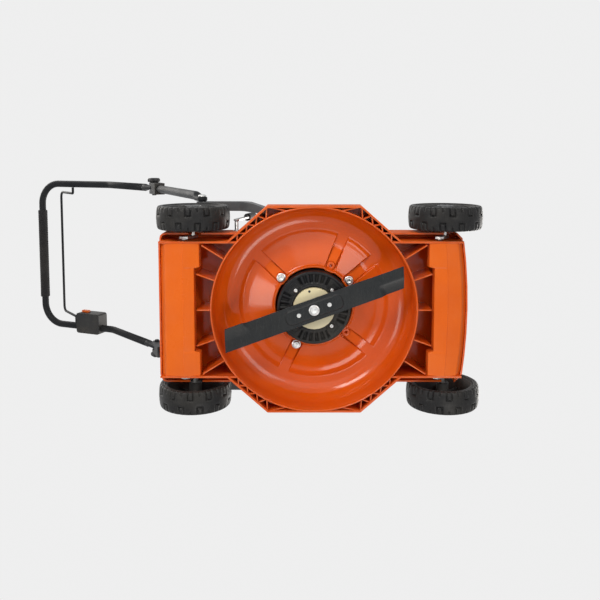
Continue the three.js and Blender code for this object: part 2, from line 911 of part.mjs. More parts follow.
piece('motor_end_cap', turned([
  [shaftRadius + runningGap, capFaceZ],
  [capRadius, capFaceZ],
  [capRadius, motorFaceZ + motorShell + seatGap],
  [capRadius + capCollar, motorFaceZ + motorShell + seatGap],
  [capRadius + capCollar, motorFaceZ + motorShell + seatGap + capCollarThickness],
  [shaftRadius + runningGap, motorFaceZ + motorShell + seatGap + capCollarThickness],
], wheelSides), cream);

boltedBossAngles.forEach((angle, i) => {
  const [x, y] = seenFromBelow(bossCircle, angle);
  const seatZ = bossSeatZ - seatGap;
  const headZ = seatZ - boltFlangeHeight - boltHeadHeight;
  piece(`motor_bolt_${i + 1}`, join([
    bar('z', boltHeadRadius, headZ, seatZ - boltFlangeHeight / 2, x, y, hexSides),
    bar('z', boltFlangeRadius, seatZ - boltFlangeHeight, seatZ, x, y),
    bar('z', boltRadius, seatZ - weld, motorFlangeZ + motorFlangeThickness, x, y, smallSides),
  ]), zinc);
});

screwAngles.forEach((angle, i) => {
  const [x, y] = seenFromBelow(screwCircle, angle);
  piece(`motor_screw_${i + 1}`, join([
    bar('z', screwHeadRadius, motorFaceZ - seatGap - screwHeadHeight, motorFaceZ - seatGap, x, y, smallSides),
    bar('z', screwRadius, motorFaceZ - screwHeadHeight / 2, motorFaceZ + screwLength, x, y, smallSides),
  ]), zinc);
});

const rotorZ = groundClearance + rotorRise;
piece('stator', turned([
  [rotorRadius + statorGap, rotorZ],
  [motorRadius - motorShell - seatGap, rotorZ],
  [motorRadius - motorShell - seatGap, rotorZ + rotorLength],
  [rotorRadius + statorGap, rotorZ + rotorLength],
], wheelSides), copper);

const shaftTopZ = motorTopZ - motorShell - seatGap;
piece('motor_rotor', turned([
  [bladeBoltRadius + runningGap, adapterTopZ + seatGap],
  [shaftRadius, adapterTopZ + seatGap],
  [shaftRadius, rotorZ],
  [rotorRadius, rotorZ],
  [rotorRadius, rotorZ + rotorLength],
  [shaftRadius, rotorZ + rotorLength],
  [shaftRadius, shaftTopZ],
  [0, shaftTopZ],
  [0, rotorZ],
  [bladeBoltRadius + runningGap, rotorZ],
], wheelSides), grey);

const fanZ = rotorZ + rotorLength + fanGap;
function coolingFan() {
  const disc = turned([
    [shaftRadius + seatGap, fanZ],
    [fanRadius, fanZ],
    [fanRadius, fanZ + fanDisc],
    [shaftRadius + fanDisc * 2, fanZ + fanDisc],
    [shaftRadius + fanDisc * 2, fanZ + fanHeight],
    [shaftRadius + seatGap, fanZ + fanHeight],
  ], wheelSides);
  const half = fanDisc / 2;
  const blades = Array.from({ length: fanBladeCount }, (_, i) => (
    block(shaftRadius + fanDisc, fanRadius - fanDisc, -half, half, fanZ + half, fanZ + fanHeight)
      .rotate([0, 0, i * up * 4 / fanBladeCount])
  ));
  return join([disc, ...blades]);
}

piece('cooling_fan', coolingFan(), black);

// Blade parts lie along X first and are then turned to the angle at which the blade stands
function alongBlade(body) {
  return body.rotate([0, 0, -up - bladeAngle]);
}

function roundedBar(length, width, z0, z1) {
  const radius = width / 2;
  return prismZ(shapeOf([
    ...arc(length / 2 - radius, 0, radius, -up, up, filletSteps),
    ...arc(radius - length / 2, 0, radius, up, up * 3, filletSteps),
  ]), z0, z1);
}

// One half of the blade beyond the pad: a flat leading half and a trailing sail that rises
function bladeSail() {
  const half = bladeWidth / 2;
  const tip = Math.sqrt((cuttingWidth / 2) ** 2 - half ** 2);
  const trailingTip = tip - tipCut;
  const raised = bladeZ + sailRise;
  const section = shapeOf([
    [-weld, bladeZ],
    [half, raised],
    [half, raised + bladeThickness],
    [-weld, bladeZ + bladeThickness],
  ]);
  const turn = new THREE.Matrix4().set(0, 0, 1, 0, 1, 0, 0, 0, 0, 1, 0, 0, 0, 0, 0, 1);
  const sailBody = extruded(section, trailingTip - sailStart).applyMatrix4(turn);
  const sail = solid(sailBody.translate(sailStart, 0, 0));
  const leading = prismZ(shapeOf([
    [padLength / 2 - bladeWidth, -half],
    [tip, -half],
    [trailingTip, 0],
    [padLength / 2 - bladeWidth, 0],
  ]), bladeZ, bladeZ + bladeThickness);
  const trailing = prismZ(shapeOf([
    [padLength / 2 - bladeWidth, -weld],
    [sailStart, -weld],
    [sailStart - half / 2, half],
    [padLength / 2 - bladeWidth, half],
  ]), bladeZ, bladeZ + bladeThickness);
  return join([leading, trailing, sail]);
}

function blade() {
  const arms = [0, up * 2].map((angle) => bladeSail().rotate([0, 0, angle]));
  const pad = roundedBar(padLength, padWidth, padZ, bladeZ + bladeThickness);
  const recess = roundedBar(
    padLength - bladeThickness * 2,
    padWidth - bladeThickness,
    padZ + bladeThickness,
    bladeZ + bladeThickness * 2,
  );
  const holes = [
    bar('z', bladeBoltRadius + boltGap, 0, bladeZ * 2, 0, 0, smallSides),
    bar('z', pegRadius + boltGap, 0, bladeZ * 2, pegOffset, 0, smallSides),
    bar('z', pegRadius + boltGap, 0, bladeZ * 2, -pegOffset, 0, smallSides),
  ];
  return alongBlade(cut(join([...arms, pad]), [recess, ...holes]));
}

piece('blade', blade(), bladePaint);

const adapterZ = padZ + bladeThickness + seatGap;
piece('blade_adapter', alongBlade(cut(join([
  roundedBar(adapterLength, adapterWidth, adapterZ, adapterTopZ),
  bar('z', pegRadius, padZ - weld / 2, adapterZ + weld, pegOffset, 0, smallSides),
  bar('z', pegRadius, padZ - weld / 2, adapterZ + weld, -pegOffset, 0, smallSides),
]), [bar('z', bladeBoltRadius + boltGap, 0, adapterTopZ + weld, 0, 0, smallSides)])), zinc);

const bladeBoltZ = padZ - seatGap;
piece('blade_bolt', join([
  bar('z', bladeBoltHexRadius, bladeBoltZ - bladeBoltHexHeight, bladeBoltZ - weld, 0, 0, hexSides),
  bar('z', bladeBoltFlange, bladeBoltZ - bladeBoltFlangeHeight, bladeBoltZ, 0, 0),
  bar('z', bladeBoltRadius, bladeBoltZ - weld, bladeBoltZ + bladeBoltLength, 0, 0, smallSides),
]), zinc);

// Half of the tyre's width: its outline steps between the groove and the block radius
function treadRow(phase, from, to) {
  const points = [];
  const pitch = up * 4 / treadBlocks;
  for (let i = 0; i < treadBlocks; i += 1) {
    const middle = (i + phase) * pitch - up;
    const half = pitch * blockShare / 2;
    points.push(...arc(0, 0, wheelRadius, middle - half, middle + half, 1));
    points.push(...arc(0, 0, wheelRadius - treadDepth, middle + half, middle + pitch - half, 1));
  }
  const ring = shapeOf(points);
  const bore = arc(0, 0, wheelRadius - tyreWall, 0, up * 4, wheelSides).slice(1);
  ring.holes.push(new THREE.Path(bore.map(([x, y]) => new THREE.Vector2(x, y))));
  return prismX(ring, from, to);
}

function tyre() {
  const half = tyreWidth / 2;
  return join([treadRow(0, -half, 0), treadRow(rowStaggerShare, 0, half)]);
}

function hub() {
  const half = tyreWidth / 2 - hubInset;
  const outer = wheelRadius - tyreWall - seatGap;
  const bore = axleRadius + seatGap;
  return turnedX([
    [bore, -half],
    [hubBossRadius, -half],
    [hubBossRadius, webOffset],
    [outer - hubWall, webOffset],
    [outer - hubWall, -half],
    [outer, -half],
    [outer, half],
    [outer - hubWall * 2, webOffset + webThickness],
    [hubBossRadius, webOffset + webThickness],
    [hubBossRadius, bossEndOffset],
    [bore, bossEndOffset],
  ], 0, 0, 0);
}

function hubCap() {
  const foot = webOffset + webThickness + seatGap;
  const top = tyreWidth / 2;
  return turnedX([
    [hubBossRadius + hubCapWall, foot],
    [hubCapRadius, foot],
    [hubCapRadius - hubCapWall, top],
    [0, top],
    [0, top - hubCapWall],
    [hubBossRadius + hubCapWall, top - hubCapWall],
  ], 0, 0, 0, roundSides);
}

const wheelPlaces = [
  ['front_left', 1, -frontWheelOffset],
  ['front_right', -1, -frontWheelOffset],
  ['rear_left', 1, rearWheelOffset],
  ['rear_right', -1, rearWheelOffset],
];
const wheelPieces = [['tyre', tyre, rubber], ['hub', hub, black], ['hub_cap', hubCap, grey]];
for (const [place, side, y] of wheelPlaces) {
  for (const [kind, make, finish] of wheelPieces) {
    const body = side > 0 ? make() : make().mirror([1, 0, 0]);
    piece(`${place}_${kind}`, body.translate([side * wheelX, y, wheelRadius]), finish);
  }
}

// One crank axle: cross bar, a plate and a stub at each end, and a pressed-on retaining ring
function crankAxle(crankY) {
  const stubY = crankY - crankLag;
  const parts = [bar('x', axleRadius, -platesOuter + weld, platesOuter - weld, crankY, crankZ)];
  for (const side of [-1, 1]) {
    const low = Math.min(side * platesInner, side * platesOuter);
    const plate = shapeOf([
      ...arc(-crankRadius / 2, 0, crankPlateHalfWidth, up, up * 3, filletSteps),
      ...arc(crankRadius / 2, 0, crankPlateHalfWidth, -up, up, filletSteps),
    ]);
    const lean = Math.atan2(crankZ - wheelRadius, crankLag);
    parts.push(placed(
      prismX(plate, 0, crankPlateThickness),
      low,
      (crankY + stubY) / 2,
      (crankZ + wheelRadius) / 2,
      lean,
    ));
    const end = wheelX + bossEndOffset + seatGap;
    parts.push(bar('x', axleRadius, side * (platesOuter - weld), side * (end + weld), stubY, wheelRadius));
    parts.push(bar('x', nutRadius, side * end, side * (end + nutThickness), stubY, wheelRadius, smallSides));
  }
  return join(parts);
}

piece('rear_axle', crankAxle(rearCrankY), zinc);
piece('front_axle', crankAxle(frontCrankY), zinc);

for (const [place, side, y] of [
  ['front_left', 1, frontCrankY],
  ['front_right', -1, frontCrankY],
  ['rear_left', 1, rearCrankY],
  ['rear_right', -1, rearCrankY],
]) {
  const body = turnedX([
    [axleRadius + seatGap, channelHalfWidth - seatGap - bushCollarWidth],
    [axleRadius + bushWall + bushCollar, channelHalfWidth - seatGap - bushCollarWidth],
    [axleRadius + bushWall + bushCollar, channelHalfWidth - seatGap],
    [axleRadius + bushWall, channelHalfWidth - seatGap],
    [axleRadius + bushWall, sideWallOuter + weld],
    [axleRadius + seatGap, sideWallOuter + weld],
  ], 0, 0, 0, roundSides);
  const handed = side > 0 ? body : body.mirror([1, 0, 0]);
  piece(`axle_bush_${place}`, handed.translate([0, y, crankZ]), black);
}

// The height lever stands on its boss and leans forward
const leverX = -fenderHalfWidth - leverBossReach - runningGap;
const leverZ = groundClearance + leverRise;
const leverLeanAngle = (leverAngle - up) * degree;
function heightLever() {
  const outline = shapeOf([
    ...arc(0, 0, leverHalfWidth, up * 2, up * 4, filletSteps),
    [leverHalfWidth * leverTaperShare, leverLength],
    [-leverHalfWidth * leverTaperShare, leverLength],
  ]);
  const body = cut(prismX(outline, -leverThickness, 0), [
    bar('x', leverPinRadius + seatGap, -leverThickness - weld, weld, 0, 0, smallSides),
  ]);
  return placed(body, leverX, leverY, leverZ, leverLeanAngle);
}

piece('height_lever', heightLever(), zinc);

const leverMiddleX = leverX - leverThickness / 2;
const leverGripZ = leverLength - leverGripLength * leverGripOverlapShare;
const leverGrip = cut(
  bar('z', leverGripRadius, leverGripZ, leverGripZ + leverGripLength, 0, 0),
  [block(
    -leverThickness / 2 - seatGap,
    leverThickness / 2 + seatGap,
    -leverHalfWidth - seatGap,
    leverHalfWidth + seatGap,
    0,
    leverLength + seatGap,
  )],
);
piece('height_lever_grip', placed(leverGrip, leverMiddleX, leverY, leverZ, leverLeanAngle), black);

// Hood: where a side, a top and a cross outline meet, hollowed by the same outlines set inwards
function hoodVolume(inset) {
  const base = deckTop + seatGap - (inset ? weld : 0);
  const top = deckTop + hoodHeight - inset;
  const side = shapeOf([
    [inset - hoodFront, base],
    [inset - hoodFront, deckTop + hoodNoseHeight - inset],
    [-hoodFront * hoodNoseShare, deckTop + (hoodNoseHeight + hoodHeight) * hoodNoseRiseShare - inset],
    [-hoodFront * hoodBrowShare, top - hoodHeight * hoodBrowDropShare],
    [-hoodFront * hoodPeakShare, top],
    [hoodRear * hoodLevelShare, top],
    [hoodRear * hoodTailShare, top - hoodHeight * hoodTailDropShare],
    [hoodRear - inset, deckTop + hoodTailHeight - inset],
    [hoodRear - inset, base],
  ].reverse());
  const half = hoodHalfWidth - inset;
  const cheekZ = deckTop + hoodSideHeight * hoodCheekRiseShare - inset / 2;
  const cross = shapeOf([
    [-half, base],
    [-half, deckTop + hoodSideHeight],
    [-half * hoodCheekShare, cheekZ],
    [-half * hoodShoulderShare, top - hoodHeight * hoodShoulderDropShare],
    [-hoodCrown, top],
    [hoodCrown, top],
    [half * hoodShoulderShare, top - hoodHeight * hoodShoulderDropShare],
    [half * hoodCheekShare, cheekZ],
    [half, deckTop + hoodSideHeight],
    [half, base],
  ].reverse());
  const plan = roundedRectangle(-half, half, inset - hoodFront, hoodRear - inset, hoodCorner - inset);
  return prismX(side, -half, half)
    .intersect(prismY(cross, -hoodFront, hoodRear))
    .intersect(prismZ(plan, base, top + weld));
}

function batteryBlock(gap, z0, z1) {
  const halfWidth = batteryWidth / 2 + gap;
  const halfLength = batteryLength / 2 + gap;
  return prismZ(roundedRectangle(
    -halfWidth,
    halfWidth,
    batteryY - halfLength,
    batteryY + halfLength,
    batteryCorner,
  ), z0, z1);
}

function hood() {
  const shell = cut(hoodVolume(0), [hoodVolume(hoodWall)]);
  const bayWall = cut(hoodVolume(0), []).intersect(batteryBlock(
    batteryGap + hoodWall,
    deckTop + seatGap,
    deckTop + hoodHeight,
  ));
  return cut(join([shell, bayWall]), [batteryBlock(batteryGap, deckTop, deckTop + hoodHeight * 2)]);
}

piece('hood', hood(), black);

const batteryTop = deckTop + seatGap + batteryHeight;
function battery() {
  const body = batteryBlock(0, deckTop + seatGap, batteryTop);
  const grip = prismZ(roundedRectangle(
    -gripSlotLength / 2,
    gripSlotLength / 2,
    batteryY - gripSlotWidth / 2,
    batteryY + gripSlotWidth / 2,
    batteryCorner,
  ), batteryTop - gripSlotDepth, batteryTop + weld);
  const bridge = block(
    -gripSlotLength / 2 - weld,
    gripSlotLength / 2 + weld,
    batteryY - gripBridgeWidth / 2,
    batteryY + gripBridgeWidth / 2,
    batteryTop - gripSlotDepth / 2,
    batteryTop,
  );
  const releaseSeat = block(
    -releaseWidth / 2 - seatGap,
    releaseWidth / 2 + seatGap,
    batteryY + batteryLength / 2 - releaseThickness - seatGap,
    batteryY + batteryLength / 2 + weld,
    batteryTop - releaseDrop - releaseHeight - seatGap,
    batteryTop - releaseDrop + seatGap,
  );
  return cut(join([cut(body, [grip]), bridge]), [releaseSeat]);
}

piece('battery', battery(), grey);

piece('battery_release', block(
  -releaseWidth / 2,
  releaseWidth / 2,
  batteryY + batteryLength / 2 - releaseThickness + releaseTravel,
  batteryY + batteryLength / 2,
  batteryTop - releaseDrop - releaseHeight,
  batteryTop - releaseDrop,
), orange);

function controller() {
  const z0 = deckTop + seatGap;
  const half = controllerWidth / 2;
  const box = block(
    -half,
    half,
    -controllerY - controllerLength / 2,
    controllerLength / 2 - controllerY,
    z0,
    z0 + controllerHeight,
  );
  const fins = Array.from({ length: finCount }, (_, i) => {
    const x = -half + finThickness + (controllerWidth - finThickness * 2) * i / (finCount - 1);
    return block(
      x - finThickness / 2,
      x + finThickness / 2,
      -controllerY - controllerLength / 2 + finThickness,
      controllerLength / 2 - controllerY - finThickness,
      z0 + controllerHeight - weld,
      z0 + controllerHeight + finHeight,
    );
  });
  return join([box, ...fins]);
}

piece('controller', controller(), grey);

function carryHandle() {
  const z0 = deckTop + seatGap;
  const outer = shapeOf([
    [-carryHalfWidth - carryFoot, z0],
    [-carryHalfWidth + carryThickness, z0],
    [-carryHalfWidth + carryThickness * carryInnerShare, z0 + carryHeight - carryThickness],
    [carryHalfWidth - carryThickness * carryInnerShare, z0 + carryHeight - carryThickness],
    [carryHalfWidth - carryThickness, z0],
    [carryHalfWidth + carryFoot, z0],
    [carryHalfWidth + carryFoot * carryFootShare, z0 + carryThickness],
    [carryHalfWidth - carryThickness * carryOuterShare, z0 + carryHeight - carryThickness / 2],
    [carryHalfWidth - carryThickness, z0 + carryHeight],
    [carryThickness - carryHalfWidth, z0 + carryHeight],
    [-carryHalfWidth + carryThickness * carryOuterShare, z0 + carryHeight - carryThickness / 2],
    [-carryHalfWidth - carryFoot * carryFootShare, z0 + carryThickness],
  ]);
  return prismY(outer, -carryY - carryDepth / 2, carryDepth / 2 - carryY);
}

piece('carry_handle', carryHandle(), black);

// The space that the chamber's shell takes up, with the gap that a seated piece keeps
function chamberOutside() {
  const filletX = ringInner - ringDraft - chamberFillet;
  const filletZ = ceilingZ - chamberFillet;
  return turned([
    [0, 0],
    [ringOuter + seatGap, 0],
    ...arc(filletX, filletZ, chamberFillet + deckWall + seatGap, 0, up, filletSteps),
    [0, deckTop + seatGap],
  ]);
}

// The bracket's foot stands on the deck's shoulder, lies against the chamber's shell,
// and its arm clears the rear wheel
function handleBracket() {
  const z0 = shoulderZ + seatGap;
  const armZ = pivotZ - bracketArmHeight / 2;
  const half = bracketArmHeight / 2;
  const outline = shapeOf([
    [bracketFront, z0],
    [bracketFootEnd, z0],
    [bracketRiseStart, z0 + bracketFootHeight / 2],
    [bracketRiseEnd, armZ - half / 2],
    [bracketRiseEnd + half, armZ],
    ...arc(pivotY + half, pivotZ, half, -up, up, filletSteps),
    [bracketRiseEnd, pivotZ + half],
    [bracketRiseStart + half, pivotZ - half],
    [bracketFootEnd - half, z0 + bracketFootHeight],
    [bracketFront, z0 + bracketFootHeight],
  ]);
  const body = prismX(outline, bracketOuterX - bracketThickness, bracketOuterX);
  return cut(body, [
    chamberOutside(),
    bar('x', pivotBoltRadius + boltGap, 0, bracketOuterX * 2, pivotY, pivotZ, smallSides),
  ]);
}

// A flattened tube end around the origin, which runs on along +Y, with its bolt hole
function tongue(length, holeRadius) {
  const outline = shapeOf([
    ...arc(0, 0, tongueHalfWidth, up, up * 3, filletSteps),
    [length, -tongueHalfWidth],
    [length + overrun, -tongueHalfWidth / 2],
    [length + overrun, tongueHalfWidth / 2],
    [length, tongueHalfWidth],
  ]);
  return cut(
    prismX(outline, -tongueThickness / 2, tongueThickness / 2),
    [bar('x', holeRadius, -tongueThickness, tongueThickness, 0, 0, smallSides)],
  );
}

const lowerLength = Math.hypot(foldY - pivotY, foldZ - pivotZ);
const tongueX = tongueInner + tongueThickness / 2;
function lowerTube() {
  const end = lowerLength - slotBottom - socketFloor - seatGap;
  const tube = bar('y', tubeRadius, lowerTongueLength, end, tubeX - tongueX, 0, roundSides);
  return placed(
    join([tongue(lowerTongueLength, pivotBoltRadius + boltGap), tube]),
    tongueX,
    pivotY,
    pivotZ,
    lowerAngle,
  );
}

function foldBracket() {
  const outline = shapeOf([
    ...arc(0, 0, socketHalfDepth, -up, up, filletSteps).map(([y, z]) => [y * socketTop / socketHalfDepth, z]),
    [-socketBottom, socketHalfDepth],
    [-socketBottom, -socketHalfDepth],
  ]);
  const body = cut(prismX(outline, -socketHalfWidth, socketHalfWidth), [
    bar('y', tubeRadius + seatGap, -socketBottom - overrun, -slotBottom - socketFloor, 0, 0, roundSides),
    block(
      -tongueThickness / 2 - runningGap,
      tongueThickness / 2 + runningGap,
      -slotBottom,
      socketTop + overrun,
      -socketHalfDepth - overrun,
      socketHalfDepth + overrun,
    ),
    bar('x', foldBoltRadius + boltGap, -socketHalfWidth - weld, socketHalfWidth + weld, 0, 0, smallSides),
  ]);
  return placed(body, tubeX, foldY, foldZ, lowerAngle);
}

// A lobed knob with its clamping bolt, which runs through the fold bracket
function clampKnob() {
  const lobes = Array.from({ length: knobLobes * 4 }, (_, i) => {
    const angle = i * up / knobLobes;
    const wave = (1 + Math.cos(angle * knobLobes * degree)) / 2;
    return arc(0, 0, knobRadius * (knobWaistShare + (1 - knobWaistShare) * wave), angle, angle, 1)[0];
  });
  const face = socketHalfWidth + seatGap;
  return join([
    prismX(shapeOf(lobes), face, face + knobThickness),
    bar('x', foldBoltRadius, -face, face + weld, 0, 0, smallSides),
    bar('x', foldBoltHeadRadius, -face - overrun, -face, 0, 0, hexSides),
  ]).translate([tubeX, foldY, foldZ]);
}

function pivotBolt() {
  const outer = tongueInner + tongueThickness + seatGap;
  const inner = bracketOuterX - bracketThickness - seatGap;
  return join([
    bar('x', pivotBoltRadius, inner - weld, outer + weld, pivotY, pivotZ, smallSides),
    bar('x', pivotBoltHeadRadius, outer, outer + pivotBoltHeadHeight, pivotY, pivotZ),
    bar('x', pivotNutRadius, inner - pivotBoltHeadHeight, inner, pivotY, pivotZ, hexSides),
  ]);
}

for (const [sideName, side] of [['left', 1], ['right', -1]]) {
  const mirrored = (body) => (side > 0 ? body : body.mirror([1, 0, 0]));
  piece(`handle_bracket_${sideName}`, mirrored(handleBracket()), grey);
  piece(`lower_tube_${sideName}`, mirrored(lowerTube()), tubePaint);
  piece(`pivot_bolt_${sideName}`, mirrored(pivotBolt()), zinc);
  piece(`fold_bracket_${sideName}`, mirrored(foldBracket()), black);
  piece(`clamp_knob_${sideName}`, mirrored(clampKnob()), black);
}

const loopStart = [
  foldY + upperTongueLength * Math.cos(upperAngle),
  foldZ + upperTongueLength * Math.sin(upperAngle),
];
function upperLoop() {
  const path = roundedPath([
    [tubeX, ...loopStart],
    [tubeX, bendY, bendZ],
    [tubeX, gripEndY, gripEndZ],
    [-tubeX, gripEndY, gripEndZ],
    [-tubeX, bendY, bendZ],
    [-tubeX, ...loopStart],
  ], [bendRadius, loopCornerRadius, loopCornerRadius, bendRadius]);
  const tongues = [-1, 1].map((side) => placed(
    tongue(upperTongueLength, foldBoltRadius + boltGap),
    side * tubeX,
    foldY,
    foldZ,
    upperAngle,
  ));
  return join([tubeAlong(path, tubeRadius, loopSteps), ...tongues]);
}

piece('upper_loop', upperLoop(), tubePaint);

const gripSleeve = turnedX([
  [tubeRadius + boltGap, -gripHalfLength],
  [gripRadius, -gripHalfLength],
  [gripRadius, gripHalfLength],
  [tubeRadius + boltGap, gripHalfLength],
], 0, gripEndY, gripEndZ, roundSides);
piece('grip_sleeve', gripSleeve, rubber);

// A point of the loop's upper run: a distance past the bend and a height above the tube
function onUpperRun(along, above) {
  return [
    bendY + along * Math.cos(gripAngle) - above * Math.sin(gripAngle),
    bendZ + along * Math.sin(gripAngle) + above * Math.cos(gripAngle),
  ];
}

const bailPivot = onUpperRun(bailPivotOffset, 0);
function bail() {
  const angle = gripAngle + bailRestAngle * degree;
  const far = [bailPivot[0] + bailLength * Math.cos(angle), bailPivot[1] + bailLength * Math.sin(angle)];
  const pinEnd = tubeX - tubeRadius - seatGap;
  const path = roundedPath([
    [pinEnd, ...bailPivot],
    [bailHalfWidth, ...bailPivot],
    [bailHalfWidth, ...far],
    [-bailHalfWidth, ...far],
    [-bailHalfWidth, ...bailPivot],
    [-pinEnd, ...bailPivot],
  ], [bailRadius, bailCorner, bailCorner, bailRadius]);
  return tubeAlong(path, bailRadius, bailSteps, bailSides);
}

piece('bail_lever', bail(), tubePaint);

// Console parts are built along +Y with the tube through the origin, then set on the upper run
function onConsole(body) {
  const [y, z] = onUpperRun(consoleStart, 0);
  return placed(body, 0, y, z, gripAngle);
}

const consoleMiddleX = (consoleInnerX + tubeX - tubeRadius) / 2;
const buttonY = consoleLength * buttonAlongShare;
const keyY = consoleLength * keyAlongShare;
function handleConsole() {
  const plan = roundedRectangle(consoleInnerX, consoleOuterX, 0, consoleLength, consoleCorner);
  const wellZ = consoleAbove - buttonHeight;
  const keyEnd = consoleInnerX + keyDepth;
  return onConsole(cut(prismZ(plan, -consoleBelow, consoleAbove), [
    bar('y', tubeRadius + boltGap, -overrun, consoleLength + overrun, tubeX, 0, roundSides),
    bar('z', buttonRadius + runningGap, wellZ, consoleAbove + weld, consoleMiddleX, buttonY),
    bar('x', keyRadius + runningGap, consoleInnerX - weld, keyEnd, keyY, 0, smallSides),
  ]));
}

piece('console', handleConsole(), black);
piece('start_button', onConsole(bar(
  'z',
  buttonRadius,
  consoleAbove - buttonHeight + buttonTravel + seatGap,
  consoleAbove + buttonStand,
  consoleMiddleX,
  buttonY,
)), orange);
const keyHeadX = consoleInnerX - seatGap;
piece('safety_key', onConsole(join([
  bar('x', keyRadius, keyHeadX - weld, consoleInnerX + keyDepth - runningGap, keyY, 0, smallSides),
  block(
    keyHeadX - keyHeadThickness,
    keyHeadX,
    keyY - keyHeadWidth / 2,
    keyY + keyHeadWidth / 2,
    -keyHeadHeight / 2,
    keyHeadHeight / 2,
  ),
])), orange);

// The origin lies on the ground under the middle of the whole machine
const reach = new THREE.Box3().setFromObject(mower);
mower.position.set(
  -(reach.min.x + reach.max.x) / 2,
  -(reach.min.y + reach.max.y) / 2,
  -reach.min.z,
);

export default mower;
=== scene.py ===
"""A cordless lawn mower seen from below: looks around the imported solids, in metres.

+Z is up, the front points to -Y, the handle to +Y and the mower's left side to +X.
Sizes in the pieces are in millimetres from the cutting ring's axis and the ground.
"""
import math

import bmesh
import bpy
from mathutils import Matrix, Vector
from mathutils.bvhtree import BVHTree


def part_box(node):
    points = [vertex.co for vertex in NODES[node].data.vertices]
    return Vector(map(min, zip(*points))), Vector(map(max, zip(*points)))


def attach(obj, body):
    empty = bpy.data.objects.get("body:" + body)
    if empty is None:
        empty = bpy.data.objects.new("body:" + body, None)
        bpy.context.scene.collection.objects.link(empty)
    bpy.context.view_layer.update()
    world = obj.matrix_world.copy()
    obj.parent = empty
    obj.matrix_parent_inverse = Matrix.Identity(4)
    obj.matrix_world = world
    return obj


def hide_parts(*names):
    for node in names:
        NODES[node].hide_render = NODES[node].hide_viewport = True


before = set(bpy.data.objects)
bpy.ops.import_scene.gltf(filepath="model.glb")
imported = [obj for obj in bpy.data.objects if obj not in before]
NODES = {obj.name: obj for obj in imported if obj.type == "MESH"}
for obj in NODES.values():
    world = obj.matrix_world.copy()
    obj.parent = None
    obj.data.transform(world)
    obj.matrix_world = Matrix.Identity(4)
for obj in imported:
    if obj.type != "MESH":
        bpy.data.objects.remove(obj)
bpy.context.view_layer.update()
MM = 0.001
RIM_HEIGHT = 28
FULL = 360
HANDS = (("left", 1), ("right", -1))


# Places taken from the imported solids
def middle(node):
    low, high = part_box(node)
    return (low + high) / 2


RING_AXIS = middle("motor_rotor")
RIM_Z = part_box("deck")[0].z
ORIGIN = Vector((0, RING_AXIS.y, RIM_Z - RIM_HEIGHT * MM))


def from_below(radius, angle):
    """X and Y of a point on a circle, with its angle counted as the view from below shows it."""
    turn = math.radians(angle)
    return -radius * math.sin(turn), -radius * math.cos(turn)


# Camera, as the photograph was taken: from below, with the front to the right
PHOTO_WIDTH = 600
FOCAL_PIXELS = 710
SENSOR = 36
CAMERA_DEPTH = 1.54
CAMERA_ASIDE = 0.3474
CAMERA_BEHIND = 0.0314
CAMERA_TILT = math.radians(5)
CAMERA_SHIFT = -0.1424

# Studio
PALE = (0.86, 0.86, 0.86, 1)
FLOOR_SIZE = 30
FLOOR_GLOW = 0.84
SHADED = (0.16, 0.16, 0.16, 1)
SKY_BLUE = (0.9, 0.93, 1.0, 1)
SKY_STRENGTH = 0.17
LAMP_WHITE = (1.0, 0.96, 0.905)


def place_camera():
    data = bpy.data.cameras.new("photo_camera")
    data.sensor_width = SENSOR
    data.lens = SENSOR * FOCAL_PIXELS / PHOTO_WIDTH
    data.shift_y = CAMERA_SHIFT
    data.clip_end = 100
    camera = bpy.data.objects.new("photo_camera", data)
    bpy.context.scene.collection.objects.link(camera)
    forward = Vector((math.sin(CAMERA_TILT), 0, math.cos(CAMERA_TILT)))
    upward = Vector((-math.cos(CAMERA_TILT), 0, math.sin(CAMERA_TILT)))
    across = forward.cross(upward)
    turn = Matrix((across, upward, -forward)).transposed()
    camera.matrix_world = Matrix.Translation((
        RING_AXIS.x - CAMERA_ASIDE,
        RING_AXIS.y + CAMERA_BEHIND,
        RIM_Z - CAMERA_DEPTH,
    )) @ turn.to_4x4()
    bpy.context.scene.camera = camera


def feed(tree, node, inputs):
    """Gives a node's sockets their values, or links them to what feeds them."""
    for socket, value in inputs.items():
        if isinstance(value, bpy.types.NodeSocket):
            tree.links.new(value, node.inputs[socket])
        else:
            node.inputs[socket].default_value = value


def put(tree, kind, inputs=None, **settings):
    """One shader node with its settings and inputs."""
    node = tree.nodes.new("ShaderNode" + kind)
    for name, value in settings.items():
        setattr(node, name, value)
    feed(tree, node, inputs or {})
    return node


def combined(tree, operation, first, second=0.0, use_clamp=False):
    """One value, made of two by a sum of the named kind."""
    return put(tree, "Math", {0: first, 1: second}, operation=operation, use_clamp=use_clamp).outputs[0]


def pale_floor():
    """A floor that the camera sees from above, with the object's shadow, and that lets all else through."""
    bpy.ops.mesh.primitive_grid_add(x_subdivisions=2, y_subdivisions=2, size=FLOOR_SIZE)
    floor = bpy.context.object
    floor.name = "studio_floor"
    material = bpy.data.materials.new("studio_floor")
    material.use_nodes = True
    tree = material.node_tree
    tree.nodes.clear()
    matt = put(tree, "BsdfDiffuse", {"Color": SHADED})
    glow = put(tree, "Emission", {"Color": PALE, "Strength": FLOOR_GLOW})
    ground = put(tree, "AddShader", {0: matt.outputs[0], 1: glow.outputs[0]})
    clear = put(tree, "BsdfTransparent")
    facing = put(tree, "NewGeometry")
    path = put(tree, "LightPath")
    from_above = combined(tree, "SUBTRACT", path.outputs["Is Camera Ray"], facing.outputs["Backfacing"], True)
    mix = put(tree, "MixShader", {"Fac": from_above, 1: clear.outputs[0], 2: ground.outputs[0]})
    put(tree, "OutputMaterial", {"Surface": mix.outputs[0]})
    floor.data.materials.append(material)


